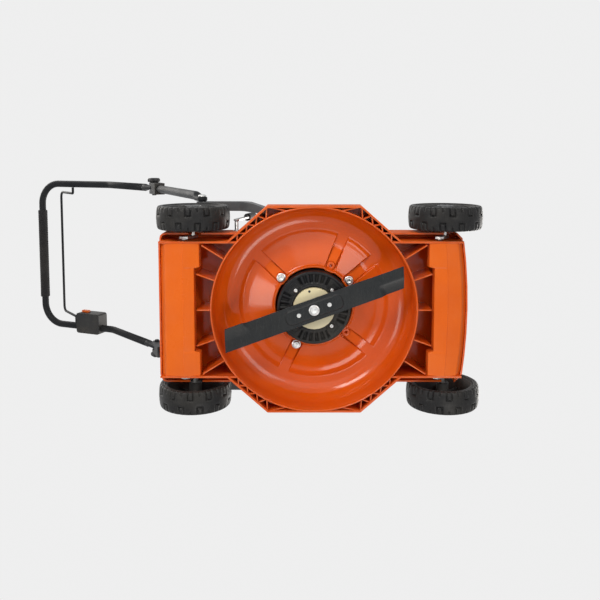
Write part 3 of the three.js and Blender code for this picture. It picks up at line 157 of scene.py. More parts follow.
def pale_world():
    """Soft daylight for the object, and a plain pale ground for what looks past it."""
    world = bpy.data.worlds.new("studio")
    bpy.context.scene.world = world
    world.use_nodes = True
    tree = world.node_tree
    tree.nodes.clear()
    ambient = put(tree, "Background", {"Color": SKY_BLUE, "Strength": SKY_STRENGTH})
    ground = put(tree, "Background", {"Color": PALE, "Strength": 1.0})
    path = put(tree, "LightPath")
    bent = combined(tree, "MAXIMUM", path.outputs["Is Glossy Ray"], path.outputs["Is Transmission Ray"])
    seen_ground = combined(tree, "MAXIMUM", path.outputs["Is Camera Ray"], bent)
    mix = put(tree, "MixShader", {"Fac": seen_ground, 1: ambient.outputs[0], 2: ground.outputs[0]})
    put(tree, "OutputWorld", {"Surface": mix.outputs[0]})


def soft_lamp(name, spot, aim, width, height, power):
    """A rectangular lamp with its sides in metres and its power in watts."""
    data = bpy.data.lights.new(name, "AREA")
    data.shape = "RECTANGLE"
    data.size = width
    data.size_y = height
    data.energy = power
    data.color = LAMP_WHITE
    lamp = bpy.data.objects.new(name, data)
    bpy.context.scene.collection.objects.link(lamp)
    lamp.visible_camera = False
    lamp.location = Vector(spot)
    lamp.rotation_mode = "QUATERNION"
    lamp.rotation_quaternion = (Vector(aim) - Vector(spot)).to_track_quat("-Z", "Y")


def studio():
    """The lamps below give the chamber the photograph's arcs of light; those above are for the upper side."""
    pale_floor()
    pale_world()
    y = RING_AXIS.y
    chamber = (0, y, 0.1)
    hood = (0, 0, 0.4)
    soft_lamp("below_right", (-1.55, y + 0.95, -1.3), chamber, 0.9, 0.65, 25)
    soft_lamp("below_left", (1.3, y - 0.6, -1.8), chamber, 1.0, 0.8, 15)
    soft_lamp("low_front", (-0.65, y - 1.0, -1.7), chamber, 0.9, 0.8, 9)
    soft_lamp("low_rear", (0.1, y + 1.55, -1.45), chamber, 0.8, 0.6, 7)
    soft_lamp("front_fill", (-1.2, y, -2.4), chamber, 1.6, 1.6, 7)
    soft_lamp("beside_right", (-1.5, 0, -0.25), (-0.2, 0, 0.08), 2.4, 0.3, 4)
    soft_lamp("above_front", (0.8, -2.2, 2.6), hood, 2.2, 1.6, 60)
    soft_lamp("above_rear", (-1.2, 2.2, 2.4), hood, 2.2, 1.6, 40)


# Effects that several finishes share, each a group with its own values in every material
def noise(tree, spot, scale, detail, **more):
    return put(tree, "TexNoise", {"Vector": spot, "Scale": scale, "Detail": detail, **more}).outputs["Fac"]


def spread(tree, value, low, high):
    """Stretches a value, so that low gives 0 and high gives 1."""
    return put(tree, "MapRange", {"Value": value, "From Min": low, "From Max": high}).outputs[0]


def uneven_tone(tree, spot, scale):
    """Slow drift of a colour over a moulding or a coat of paint."""
    return spread(tree, noise(tree, spot, scale, 5, Roughness=0.6), 0.36, 0.66)


def fine_grain(tree, spot, scale):
    """The fine dull texture of a spark-eroded mould or of sprayed paint."""
    return noise(tree, spot, scale, 3, Roughness=0.55)


def pebble_grain(tree, spot, scale):
    """The pebbled texture of grip parts and matt housings."""
    cells = put(tree, "TexVoronoi", {"Vector": spot, "Scale": scale, "Smoothness": 0.6}, feature="SMOOTH_F1")
    return cells.outputs["Distance"]


def worn_and_lit_edges(tree, spot, radius, patch_scale):
    """Edges made lighter where a rounded normal leaves the true one, broken up by noise: wear on some finishes,
    a painted highlight along the edges on others.
    """
    rounded = put(tree, "Bevel", {"Radius": radius}, samples=4)
    true = put(tree, "NewGeometry")
    dot = put(tree, "VectorMath", {0: rounded.outputs[0], 1: true.outputs["Normal"]}, operation="DOT_PRODUCT")
    edge = spread(tree, dot.outputs["Value"], 0.97, 0.82)
    return combined(tree, "MULTIPLY", edge, spread(tree, noise(tree, spot, patch_scale, 6), 0.42, 0.62))


def settled_dust(tree, spot, scale):
    """A thin uneven film of dust and dried grass juice."""
    return spread(tree, noise(tree, spot, scale, 8, Roughness=0.7), 0.45, 0.75)


def fine_scratches(tree, spot, scale):
    """Long fine scratches in two directions."""
    lines = []
    for turn in (0.5, -0.9):
        laid = put(tree, "Mapping", {"Vector": spot, "Rotation": (0.2, 0.3, turn), "Scale": (1, 18, 18)})
        away = combined(tree, "SUBTRACT", noise(tree, laid.outputs[0], scale, 2, Distortion=0.3), 0.5)
        lines.append(spread(tree, combined(tree, "ABSOLUTE", away), 0.012, 0.002))
    return combined(tree, "MAXIMUM", *lines)


def effect_group(name, make, output, inputs):
    group = bpy.data.node_groups.new(name, "ShaderNodeTree")
    for label, value in inputs.items():
        socket = group.interface.new_socket(label, in_out="INPUT", socket_type="NodeSocketFloat")
        socket.default_value = value
    group.interface.new_socket(output, in_out="OUTPUT", socket_type="NodeSocketFloat")
    given = group.nodes.new("NodeGroupInput").outputs
    spot = put(group, "TexCoord").outputs["Object"]
    made = make(group, spot, *[given[label] for label in inputs])
    feed(group, group.nodes.new("NodeGroupOutput"), {output: made})
    return group


EFFECTS = {
    "tone": effect_group("uneven_tone", uneven_tone, "Mask", {"Scale": 6}),
    "fine": effect_group("fine_grain", fine_grain, "Height", {"Scale": 900}),
    "pebble": effect_group("pebble_grain", pebble_grain, "Height", {"Scale": 500}),
    "edge_wear_and_highlight": effect_group("worn_and_lit_edges", worn_and_lit_edges, "Mask", {"Radius": 0.0012, "Patch Scale": 45}),
    "dust": effect_group("settled_dust", settled_dust, "Mask", {"Scale": 9}),
    "scratch": effect_group("fine_scratches", fine_scratches, "Mask", {"Scale": 30}),
}
DUST_COLOUR = (0.42, 0.38, 0.30, 1)


def effect(tree, name, **values):
    return put(tree, "Group", values, node_tree=EFFECTS[name]).outputs[0]


def seen(colour):
    """A colour as the eye sees it, 0 to 255, turned into the light that it gives back."""
    return tuple(((c / 255 + 0.055) / 1.055) ** 2.4 for c in colour) + (1,)


def layered(tree, share, base, over):
    """A colour laid over another where a mask says so."""
    return put(tree, "Mix", {0: share, 6: base, 7: over}, data_type="RGBA").outputs[2]


# Pale orange for scratches and worn edges on the orange parts, and for the painted highlight along the deck's
# edges.
PALE_ORANGE = (250, 150, 105)
GREY_RUB = (92, 94, 96)
BARE_STEEL = (176, 178, 180)
FINISH = {}


def finish(name, colour, shade, rough, grain, depth, kind="fine", tone=6, edge_wear_and_highlight=None, edge_and_scratch_colour=BARE_STEEL, dust=0.0,
           scratch=0.0, metallic=0.0, shine=0.32, sheen=0.0):
    """A finish with drifting colour, texture in relief, lightened edges (wear on some finishes, painted
    highlight on others), dust and scratches.
    """
    material = bpy.data.materials.new(name)
    material.use_nodes = True
    tree = material.node_tree
    drift = effect(tree, "tone", Scale=tone)
    tint = layered(tree, drift, seen(colour), seen(shade))
    gloss = put(tree, "MapRange", {"Value": drift, "To Min": rough[0], "To Max": rough[1]}).outputs[0]
    if dust:
        film = combined(tree, "MULTIPLY", effect(tree, "dust"), dust)
        tint = layered(tree, film, tint, DUST_COLOUR)
        gloss = combined(tree, "ADD", gloss, film, use_clamp=True)
    if scratch:
        hairs = combined(tree, "MULTIPLY", effect(tree, "scratch"), scratch)
        tint = layered(tree, hairs, tint, seen(edge_and_scratch_colour))
    # Lightened edges: wear on some finishes, a painted highlight along the edges on others.
    if edge_wear_and_highlight:
        lightened_edges = combined(tree, "MULTIPLY", effect(tree, "edge_wear_and_highlight", Radius=edge_wear_and_highlight[0]), edge_wear_and_highlight[1])
        tint = layered(tree, lightened_edges, tint, seen(edge_and_scratch_colour))
    relief = put(tree, "Bump", {"Height": effect(tree, kind, Scale=grain), "Distance": depth, "Strength": 0.7})
    feed(tree, tree.nodes["Principled BSDF"], {
        "Base Color": tint, "Roughness": gloss, "Normal": relief.outputs[0], "Metallic": metallic,
        "Specular IOR Level": shine, "Sheen Weight": sheen,
    })
    FINISH[name] = material


# The deck's orange is darker and redder than the covers' orange, partly as painted shade for the chamber's
# inside; its lightened edges are a painted highlight along the deck's rims and edges.
finish("deck_orange", (219, 91, 14), (211, 83, 10), (0.09, 0.14), 500, 0.00001, shine=0.36,
       edge_wear_and_highlight=(0.0022, 0.8), edge_and_scratch_colour=PALE_ORANGE, dust=0.05, scratch=0.05)
finish("deck_skin", (226, 100, 26), (214, 92, 20), (0.50, 0.62), 700, 0.00008, kind="pebble",
       edge_wear_and_highlight=(0.0012, 0.35), edge_and_scratch_colour=PALE_ORANGE, dust=0.05, shine=0.10)
finish("cover_orange", (231, 106, 26), (222, 97, 20), (0.26, 0.36), 800, 0.00003, edge_wear_and_highlight=(0.0010, 0.35),
       edge_and_scratch_colour=PALE_ORANGE, dust=0.05, scratch=0.05, shine=0.2)
finish("hood_orange", (230, 105, 26), (222, 97, 20), (0.18, 0.26), 900, 0.00001, edge_wear_and_highlight=(0.0012, 0.25),
       edge_and_scratch_colour=PALE_ORANGE, dust=0.04, scratch=0.05)
finish("accent_orange", (232, 110, 34), (222, 98, 26), (0.28, 0.38), 1200, 0.00003, edge_wear_and_highlight=(0.0008, 0.3),
       edge_and_scratch_colour=PALE_ORANGE, dust=0.04)
finish("black_plastic", (38, 39, 41), (30, 31, 33), (0.48, 0.62), 900, 0.00012, kind="pebble",
       edge_wear_and_highlight=(0.0008, 0.5), edge_and_scratch_colour=GREY_RUB, dust=0.10)
finish("motor_black", (22, 23, 26), (15, 16, 19), (0.34, 0.50), 1100, 0.00004, shine=0.2,
       edge_wear_and_highlight=(0.0008, 0.7), edge_and_scratch_colour=(104, 108, 112), dust=0.08)
finish("grey_plastic", (82, 84, 87), (72, 74, 77), (0.45, 0.58), 900, 0.00010, kind="pebble",
       edge_wear_and_highlight=(0.0008, 0.4), edge_and_scratch_colour=(130, 132, 134), dust=0.08)
finish("controller_aluminium", (168, 170, 172), (150, 152, 155), (0.42, 0.55), 1500, 0.00003,
       edge_wear_and_highlight=(0.0006, 0.4), edge_and_scratch_colour=BARE_STEEL, metallic=1.0, dust=0.08)
# The tyre's lightened edges are a painted highlight on the lug edges.
finish("tyre_rubber", (30, 30, 31), (17, 17, 19), (0.38, 0.54), 650, 0.00020, shine=0.20, tone=22,
       edge_wear_and_highlight=(0.0014, 0.7), edge_and_scratch_colour=(120, 120, 118), dust=0.05, scratch=0.10)
finish("grip_foam", (40, 40, 42), (32, 32, 34), (0.82, 0.95), 1400, 0.00030, kind="pebble", sheen=0.15,
       dust=0.05)
finish("tube_paint", (38, 40, 43), (29, 31, 34), (0.44, 0.56), 1300, 0.00003, shine=0.12,
       edge_wear_and_highlight=(0.0008, 0.25), edge_and_scratch_colour=(110, 112, 114), scratch=0.06, dust=0.03)
finish("zinc_steel", (206, 206, 204), (176, 178, 180), (0.30, 0.46), 900, 0.00003, tone=60,
       edge_wear_and_highlight=(0.0005, 0.3), edge_and_scratch_colour=(240, 240, 238), scratch=0.2, metallic=1.0)
finish("rotor_steel", (150, 152, 156), (128, 130, 134), (0.32, 0.48), 1200, 0.00003, scratch=0.3,
       edge_and_scratch_colour=BARE_STEEL, metallic=1.0)
finish("blade_steel", (34, 37, 40), (25, 28, 31), (0.24, 0.38), 900, 0.00004, tone=10, shine=0.22,
       edge_wear_and_highlight=(0.0010, 0.6), edge_and_scratch_colour=(112, 116, 118), scratch=0.12, dust=0.03)
finish("cream_metal", (226, 214, 172), (206, 198, 168), (0.34, 0.5), 1200, 0.00003, edge_wear_and_highlight=(0.0006, 0.4),
       edge_and_scratch_colour=BARE_STEEL, scratch=0.15, dust=0.12)
finish("copper_windings", (200, 120, 72), (176, 98, 54), (0.25, 0.4), 1600, 0.00010, metallic=1.0)


# Making and dressing pieces
def smooth_faces():
    group = bpy.data.node_groups.new("smooth_faces", "GeometryNodeTree")
    for way in ("INPUT", "OUTPUT"):
        group.interface.new_socket("Geometry", in_out=way, socket_type="NodeSocketGeometry")
    shade = group.nodes.new("GeometryNodeSetShadeSmooth")
    group.links.new(group.nodes.new("NodeGroupInput").outputs[0], shade.inputs["Geometry"])
    group.links.new(shade.outputs[0], group.nodes.new("NodeGroupOutput").inputs[0])
    return group


SMOOTH_FACES = smooth_faces()
FLAT_ENOUGH = math.radians(0.4)
EDGE_ANGLE = math.radians(28)


def soften(thing, width, flatten=False, segments=2):
    """Rounds the sharp edges and shades the rest smooth."""
    if flatten:
        weld = thing.modifiers.new("weld", "WELD")
        weld.merge_threshold = 0.00001
        flat = thing.modifiers.new("flat", "DECIMATE")
        flat.decimate_type = "DISSOLVE"
        flat.angle_limit = FLAT_ENOUGH
    thing.modifiers.new("smooth", "NODES").node_group = SMOOTH_FACES
    bevel = thing.modifiers.new("edges", "BEVEL")
    bevel.width = width * MM
    bevel.segments = segments
    bevel.limit_method = "ANGLE"
    bevel.angle_limit = EDGE_ANGLE
    bevel.harden_normals = True
    normal = thing.modifiers.new("normals", "WEIGHTED_NORMAL")
    normal.keep_sharp = True


def dress(node, look, edge=0.5):
    """A solid that stays gets its finish and rounded edges."""
    thing = NODES[node]
    material = FINISH[look]
    if thing.data.materials:
        for slot in thing.material_slots:
            slot.material = material
    else:
        thing.data.materials.append(material)
    soften(thing, edge, flatten=True)


def piece(name, bm, body, look, *nodes, edge=None, segments=2, in_mm=True):
    """Makes an object of a mesh built in millimetres, on its body and in the place of its solids."""
    if in_mm:
        bmesh.ops.transform(bm, matrix=Matrix.Translation(ORIGIN) @ Matrix.Scale(MM, 4), verts=bm.verts)
    bmesh.ops.recalc_face_normals(bm, faces=bm.faces)
    mesh = bpy.data.meshes.new(name)
    bm.to_mesh(mesh)
    bm.free()
    for face in mesh.polygons:
        face.use_smooth = True
    thing = bpy.data.objects.new(name, mesh)
    bpy.context.scene.collection.objects.link(thing)
    mesh.materials.append(FINISH[look])
    if edge:
        soften(thing, edge, segments=segments)
    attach(thing, body)
    if nodes:
        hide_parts(*nodes)
    return thing


def arc(x, z, radius, start, end, steps):
    turn = (end - start) / steps
    turns = [math.radians(start + turn * i) for i in range(steps + 1)]
    return [(x + radius * math.cos(on), z + radius * math.sin(on)) for on in turns]


def line(start, end, steps):
    return [
        tuple(a + (b - a) * i / steps for a, b in zip(start, end))
        for i in range(1, steps + 1)
    ]


def above(base, points):
    """Points of a section whose heights are counted from a base."""
    return [(radius, base + height) for radius, height in points]


def near(angle, other):
    """The angle between two directions, from 0 to 180."""
    return abs((angle - other + 180) % FULL - 180)


def eased(share):
    """A share from 0 to 1 with a soft start and a soft end."""
    return share * share * (3 - 2 * share)


def swell(distance, inner, outer):
    """1 inside, 0 outside, and a soft slope between."""
    return eased(min(max((outer - distance) / (outer - inner), 0), 1))


def even(steps, start=0):
    return [start + FULL * i / steps for i in range(steps)]


def beside(starts, offsets, digits=3):
    """Directions that stand off each start by each offset, in degrees."""
    return {round((start + off) % FULL, digits) for start in starts for off in offsets}


def skin(bm, rings, loop=False, whole=True):
    """Faces between neighbouring rings. A loop's last ring meets its first, and other skins get end faces."""
    count = len(rings[0])
    for here, there in zip(rings, rings[1:] + rings[:1] * loop):
        for j in range(count if whole else count - 1):
            k = (j + 1) % count
            bm.faces.new((here[j], here[k], there[k], there[j]))
    if not loop:
        bm.faces.new(rings[0])
        bm.faces.new(rings[-1])


def turned(bm, section, angles, relief=None, axis="z", centre=(0, 0, 0), closed=False):
    """Turns a section of (radius, height) about an axis. A relief may move each point."""
    rings = []
    for angle in angles:
        turn = math.radians(angle)
        ring = []
        for radius, height in section:
            if relief:
                radius, height = relief(radius, height, angle)
            across, along = radius * math.cos(turn), radius * math.sin(turn)
            spot = (across, along, height) if axis == "z" else (height, across, along)
            ring.append(bm.verts.new(Vector(spot) + Vector(centre)))
        rings.append(ring)
    skin(bm, rings, loop=True, whole=closed)


def lathe(name, node, body, look, section, angles, relief=None, axis="z", centre=(0, 0, 0), hand=1,
          closed=False):
    """A piece turned from one section, in the place of a solid if one is named. Hand -1 mirrors the section."""
    bm = bmesh.new()
    turned(bm, [(radius, height * hand) for radius, height in section], angles, relief, axis, centre, closed)
    piece(name, bm, body, look, *([node] if node else []))


# The deck
RING_OUTER = 230
RING_INNER = 226
RING_DRAFT = 1.5
CEILING = 113
SHOULDER = 84
FILLET = 46
CONE_RADIUS = 152
CONE_TOP = 107.2
CONE_FOOT = 92
CONE_LOW = 85
OPENING = 87
LIP = 79
SIDE_WALL = 149
END_WALL = 250
LEVER_Y = 176
LEVER_Z = 100
BOSS_CIRCLE = 98
BOSS_SEAT = 82.6
BOLTED = (139, 36, 246)
SPARE = (66.6, 319)
PILOT_CIRCLE = 96.5
PILOT_MARKS = (82, 55.5, 120, 152, 339, 312, 262, 229)
CHANNEL_HALF = 13.5
CHANNEL_INNER = 96
CHANNEL_END = 175
CHANNEL_RUN = 58
CHANNEL_REACH = 30
SCALLOP = 2.6
LEVER_HOLE = 7.5
LEVER_WALL = -168
STUB_REACH = 120


def seen_angle(angle):
    """Turns an angle counted from below into one counted about +Z from +X."""
    x, y = from_below(1, angle)
    return math.degrees(math.atan2(y, x)) % FULL


CHANNELS = [seen_angle(angle) for angle in BOLTED + SPARE]


def bowl_relief(radius, height, angle):
    """Channels that run out from the bolt seats, and scallops in the lip beside them."""
    if radius > CHANNEL_END or height > CEILING:
        return radius, height
    for channel in CHANNELS:
        off = near(angle, channel)
        if off > CHANNEL_REACH:
            continue
        side = radius * math.sin(math.radians(off))
        if radius > CONE_FOOT:
            share = (radius - CONE_FOOT) / CHANNEL_RUN
            floor = min(CHANNEL_INNER + (CEILING - CHANNEL_INNER) * share, CEILING)
            height += (floor - height) * swell(side, CHANNEL_HALF - 1.4, CHANNEL_HALF)
        elif radius < CONE_FOOT - 0.1:
            radius -= SCALLOP * swell(side, 7, 13)
    return radius, height


def deck_bowl():
    wall = RING_INNER - RING_DRAFT
    section = [(RING_OUTER, SHOULDER), (RING_OUTER, 56), (RING_OUTER, 30.2)]
    section += [(229.4, 28.6), (228, 28), (226.6, 28.6), (RING_INNER, 30.2), (225.4, 48)]
    section += arc(wall - FILLET, CEILING - FILLET, FILLET, 0, 84, 20)
    section += above(CEILING, ((175.5, 0), (173, -0.4), (170.5, -1.3), (168, -2.4), (165.5, -3.5), (163, -4.4),
                               (160.5, -5), (157, -5.4)))
    section += line((CONE_RADIUS, CONE_TOP), (CONE_FOOT + 3, CONE_LOW + 0.6), 14)
    section += [(CONE_FOOT + 1, CONE_LOW - 0.6), (CONE_FOOT + 0.2, CONE_LOW - 2.2), (91.8, 80.6), (91, LIP)]
    section += [(89, LIP - 0.4), (87.6, LIP + 0.2), (OPENING, LIP + 1.4), (OPENING, CONE_LOW + 4)]
    angles = beside(even(180), (0,)) | beside(CHANNELS, [0.3 * i for i in range(-32, 33)])
    lathe("deck_bowl", None, "deck_unit", "deck_orange", section, sorted(angles), bowl_relief)


def deck_shell():
    """Skirt, truss, walls and top of the deck, with the bowl's faces left to the finer bowl."""
    bm = bmesh.new()
    bm.from_mesh(NODES["deck"].data)
    bmesh.ops.remove_doubles(bm, verts=bm.verts, dist=0.00001)
    bm.normal_update()
    gone = []
    for face in bm.faces:
        spots = [(vert.co - ORIGIN) / MM for vert in face.verts]
        if all(math.hypot(spot.y - LEVER_Y, spot.z - LEVER_Z) < LEVER_HOLE and spot.x < LEVER_WALL
               for spot in spots):
            gone.append(face)
            continue
        reach = max(math.hypot(spot.x, spot.y) for spot in spots)
        low, high = min(spot.z for spot in spots), max(spot.z for spot in spots)
        if reach > RING_OUTER + 0.4 or high > CEILING + 0.4 or face.normal.z > 0.05:
            continue
        stub = low > CONE_LOW - 0.5 and reach < STUB_REACH and abs(face.normal.z) < 0.05
        if not stub:
            gone.append(face)
    bmesh.ops.delete(bm, geom=gone, context="FACES")
    bmesh.ops.dissolve_limit(bm, angle_limit=FLAT_ENOUGH, verts=bm.verts, edges=bm.edges)
    shell = piece("deck_shell", bm, "deck_unit", "deck_orange", "deck", edge=0.7, in_mm=False)
    shell.data.materials.append(FINISH["deck_skin"])
    for face in shell.data.polygons:
        spot = (face.center - ORIGIN) / MM
        sideways = face.normal.x * (abs(spot.x) > SIDE_WALL)
        endways = face.normal.y * (abs(spot.y) > END_WALL)
        outward = Vector((sideways, endways, 0))
        if face.normal.z > 0.3 or outward.dot(Vector((spot.x, spot.y, 0)).normalized()) > 0.25:
            face.material_index = 1


def lever_pin():
    """A stepped pin that the height lever turns on."""
    section = [(0.01, -167), (8.4, -167), (8.4, -170.6), (8, -171), (5.2, -171), (4.6, -171.6), (4.6, -189.6),
               (3.4, -191.4), (0.01, -191.4)]
    lathe("height_lever_pin", None, "deck_unit", "zinc_steel", section, even(32), None, "x",
          (0, LEVER_Y, LEVER_Z))


def cone_height(radius):
    return CONE_LOW + (CONE_TOP - CONE_LOW) * (radius - CONE_FOOT) / (CONE_RADIUS - CONE_FOOT)


def boss_seats():
    """The raised seats round the opening, three under the bolts and two left open, and small pilot marks."""
    bm = bmesh.new()
    for angle in BOLTED + SPARE:
        x, y = from_below(BOSS_CIRCLE, angle)
        hole, low = (4.7, BOSS_SEAT) if angle in BOLTED else (3.4, BOSS_SEAT + 7)
        section = [(11.6, 100), (10.6, 97), (10.0, low + 4), (9.6, low + 1.2), (8.8, low), (hole + 1.2, low),
                   (hole + 0.3, low + 0.4), (hole, low + 1.2), (hole, low + 9), (0.01, low + 9)]
        turned(bm, section, even(40), centre=(x, y, 0))
    for angle in PILOT_MARKS:
        x, y = from_below(PILOT_CIRCLE, angle)
        section = above(cone_height(math.hypot(x, y)), (
            (4, 2), (3.4, -0.2), (2.9, -0.6), (2.2, -0.5), (1.9, 0), (1.9, 9), (0.01, 9)))
        turned(bm, section, even(20), centre=(x, y, 0))
    piece("deck_bolt_seats", bm, "deck_unit", "deck_orange")


# Solids whose shape stays, each with its finish and the radius that its edges are rounded to
STAYING = {
    "hood_orange": (["hood"], 1.0),
    "accent_orange": (["start_button", "safety_key", "battery_release"], 0.5),
    "motor_black": (["cooling_fan"], 0.5),
    "cream_metal": (["motor_end_cap"], 0.6),
    "copper_windings": (["stator"], 0.5),
    "rotor_steel": (["motor_rotor"], 0.4),
    "controller_aluminium": (["controller"], 0.5),
    "zinc_steel": (["blade_adapter", "rear_axle", "front_axle", "height_lever"], 0.4),
    "black_plastic": (["battery", "height_lever_grip", "carry_handle", "console", *[
        f"{kind}_{side}" for side, _ in HANDS
        for kind in ("fold_bracket", "axle_bush_front", "axle_bush_rear")
    ]], 0.7),
}
for look, (nodes, edge) in STAYING.items():
    for node in nodes:
        dress(node, look, edge)


def swept(bm, path, radius, sides=12, closed=False, squash=1.0):
    """A round bar along a path, or a flatter one with squash below 1."""
    points = [Vector(point) for point in path]
    count = len(points)
    ahead = []
    for i in range(count):
        following = points[(i + 1) % count] if closed or i < count - 1 else points[i]
        before = points[i - 1] if closed or i > 0 else points[i]
        ahead.append((following - before).normalized())
    side = ahead[0].orthogonal().normalized()
    rings = []
    for point, way in zip(points, ahead):
        side = (side - way * side.dot(way)).normalized()
        other = way.cross(side)
        ring = []
        for j in range(sides):
            turn = 2 * math.pi * j / sides
            reach = side * math.cos(turn) + other * squash * math.sin(turn)
            ring.append(bm.verts.new(point + reach * radius))
        rings.append(ring)
    skin(bm, rings, loop=closed)


# The motor
MOTOR_FACE = 56
MOTOR_RADIUS = 83
MOTOR_FLANGE = 101
MOTOR_TOP = 168
CAP_HOLE = 47.3
CAP_FACE = 48
CAP_VENT = (-38.8, 10.6)
FIN_COUNT = 32
FIN_SHARE = 0.46
FIN_IN = 58
FIN_OUT = 76
FIN_GAP = 63
SCREW_PAD = 15
SCREW_CIRCLE = 57
SCREW_ANGLES = (45, 136, 226, 314)
SCREWS = [seen_angle(angle) for angle in SCREW_ANGLES]


def motor_relief(radius, height, angle):
    """Radial fins round the face, which stop at a plain pad behind each screw."""
    if FIN_IN < radius < FIN_OUT and height < FIN_GAP - 2:
        if min(near(angle, screw) for screw in SCREWS) < SCREW_PAD:
            return radius, height
        pitch = FULL / FIN_COUNT
        off = abs((angle / pitch + 0.5) % 1 - 0.5)
        if off > FIN_SHARE / 2 + 0.02:
            return radius, FIN_GAP
        if off > FIN_SHARE / 2 - 0.05:
            return radius, height + 0.4
    return radius, height


def motor_housing():
    section = [(CAP_HOLE, 64.5)] + above(MOTOR_FACE, (
        (CAP_HOLE, 0.5), (CAP_HOLE + 0.5, 0), (51, 0), (51.7, 0.8), (52.8, 0.9), (FIN_IN - 0.3, 0.9),
        (FIN_IN + 0.3, 0.9), (59.6, 0.5), (64, 0.5), (70, 0.8), (74.6, 1), (FIN_OUT - 0.3, 1.3),
        (FIN_OUT + 0.3, 1.3), (76.9, 0.3), (77.8, 0), (80.4, 0), (81.8, 0.5), (82.7, 1.5), (MOTOR_RADIUS, 3)))
    section += [(MOTOR_RADIUS, 80), (MOTOR_RADIUS, MOTOR_FLANGE), (112.4, MOTOR_FLANGE),
                (113, MOTOR_FLANGE + 0.7), (113, 105.3), (112.4, 106), (MOTOR_RADIUS, 106), (MOTOR_RADIUS, 165),
                (81, MOTOR_TOP - 0.2), (78, MOTOR_TOP), (14, MOTOR_TOP), (14, 164), (79, 164), (79, 64.5)]
    half = FULL / FIN_COUNT * FIN_SHARE / 2
    angles = beside(even(FIN_COUNT), (-half - 0.25, -half, 0, half, half + 0.25))
    angles |= beside(SCREWS, [way * SCREW_PAD + off for way in (-1, 1) for off in (-0.1, 0.1)])
    bm = bmesh.new()
    turned(bm, section, sorted(angles), motor_relief, closed=True)
    for screw in SCREWS:
        way = Vector((math.cos(math.radians(screw)), math.sin(math.radians(screw)), 0))
        across = Vector((-way.y, way.x, 0))
        spot = way * (SCREW_CIRCLE + 2) + Vector((0, 0, MOTOR_FACE + 0.3))
        corners = [spot + way * along + across * aside
                   for along, aside in ((-7, -12), (-7, 12), (12, 9), (12, -9))]
        rounded = []
        for i, corner in enumerate(corners):
            before, after = corners[i - 1], corners[(i + 1) % 4]
            rounded += [corner.lerp(before, 0.12), corner.lerp(corner.lerp((before + after) / 2, 0.1), 0.5),
                        corner.lerp(after, 0.12)]
        swept(bm, rounded, 1.1, sides=8, closed=True)
        turned(bm, above(MOTOR_FACE, ((7.2, 1), (6.6, -0.3), (5.4, -0.3), (5.0, 0.6))), even(24),
               centre=(spot.x - way.x * 2, spot.y - way.y * 2, 0))
    piece("motor_housing_shell", bm, "deck_unit", "motor_black", "motor_housing")


def hexagon(radius, angle):
    """Reach of a hexagon of a given corner radius in one direction."""
    return radius * math.cos(math.radians(30)) / math.cos(math.radians((angle + 30) % 60 - 30))


def hex_bolt(name, node, body, x, y, low, head, flange, flange_height, seat, shank, top):
    """A flanged hex bolt that looks down, with a chamfered head and a dimple in it."""
    rim = seat - flange_height
    section = [(0.01, low + 1.2), (head * 0.42, low + 1.0), (head * 0.50, low + 0.1), (head * 0.58, low),
               (head * 0.84, low), (head * 0.96, low + 0.7), (head, low + 1.4), (head, rim - 0.6),
               (head + 0.6, rim), (flange - 0.6, rim + 0.2), (flange, rim + 0.8), (flange, seat), (shank, seat),
               (shank, top), (0.01, top)]

    def flats(radius, height, angle):
        if radius > head * 0.6 and height < rim - 0.1:
            return min(radius, hexagon(head, angle)), height
        return radius, height

    lathe(name, node, body, "zinc_steel", section, even(60), flats, centre=(x, y, 0))


def motor_bolts():
    for i, angle in enumerate(BOLTED):
        x, y = from_below(BOSS_CIRCLE, angle)
        hex_bolt(f"motor_flange_bolt_{i + 1}", f"motor_bolt_{i + 1}", "deck_unit", x, y,
                 BOSS_SEAT - 8.8, 8.0, 10.5, 2.5, BOSS_SEAT - 0.2, 4, 105)
    low = MOTOR_FACE - 3.5
    section = above(low, ((0.01, 2.2), (1.2, 2.0), (1.9, 0.5), (2.3, 0.2), (3.2, 0.4), (4.0, 1.0), (4.4, 1.9),
                          (4.5, 3.2), (2.2, 3.3))) + [(2.2, 63.5), (0.01, 63.5)]

    def socket(radius, height, angle):
        if radius < 2.1 and height > low + 0.4:
            return radius * (0.8 + 0.25 * math.cos(math.radians(angle * 6))), height
        return radius, height

    for i, angle in enumerate(SCREW_ANGLES):
        x, y = from_below(SCREW_CIRCLE, angle)
        lathe(f"cap_screw_{i + 1}", f"motor_screw_{i + 1}", "deck_unit", "zinc_steel", section, even(48),
              socket, centre=(x, y, 0))
    plug = above(CAP_FACE, ((2.8, 1), (2.8, -0.3), (2.4, -0.5), (1.6, -0.4), (0.01, -0.2)))
    lathe("end_cap_vent_plug", None, "deck_unit", "black_plastic", plug, even(24), centre=(*CAP_VENT, 0))
    hex_bolt("blade_centre_bolt", "blade_bolt", "blade_unit", 0, 0, 25.8, 9.5, 12, 2.2, 31.7, 5, 61)


# The blade
BLADE_LOW = 35
BLADE_THICK = 4
BLADE_HALF = 24.5
BLADE_TURN = -110
TIP_LONG = 218.6
TIP_SHORT = 203.6
TIP_MIDDLE = 211.1
SLANT_START = 138
GRIND = 3.1
PAD_HALF = 68
PAD_SIDE = 17.5
PAD_DROP = 3
PAD_CORNER = 13
SAIL_START = 144
SAIL_FULL = 162
SAIL_RISE = 9


def blade_height(along, across):
    """Underside of the blade: a pressed pad in the middle and a rising sail on each trailing half."""
    corner = Vector((max(abs(along) - PAD_HALF + PAD_CORNER, 0), max(abs(across) - PAD_SIDE + PAD_CORNER, 0)))
    height = BLADE_LOW - PAD_DROP * swell(corner.length - PAD_CORNER, -3.2, 0)
    trailing = across if along > 0 else -across
    lift = swell(-(abs(along) - trailing * 0.25), -SAIL_FULL, -SAIL_START)
    if trailing > -1:
        height += SAIL_RISE * lift * ((trailing + 1) / (BLADE_HALF + 1)) ** 1.15
    return height


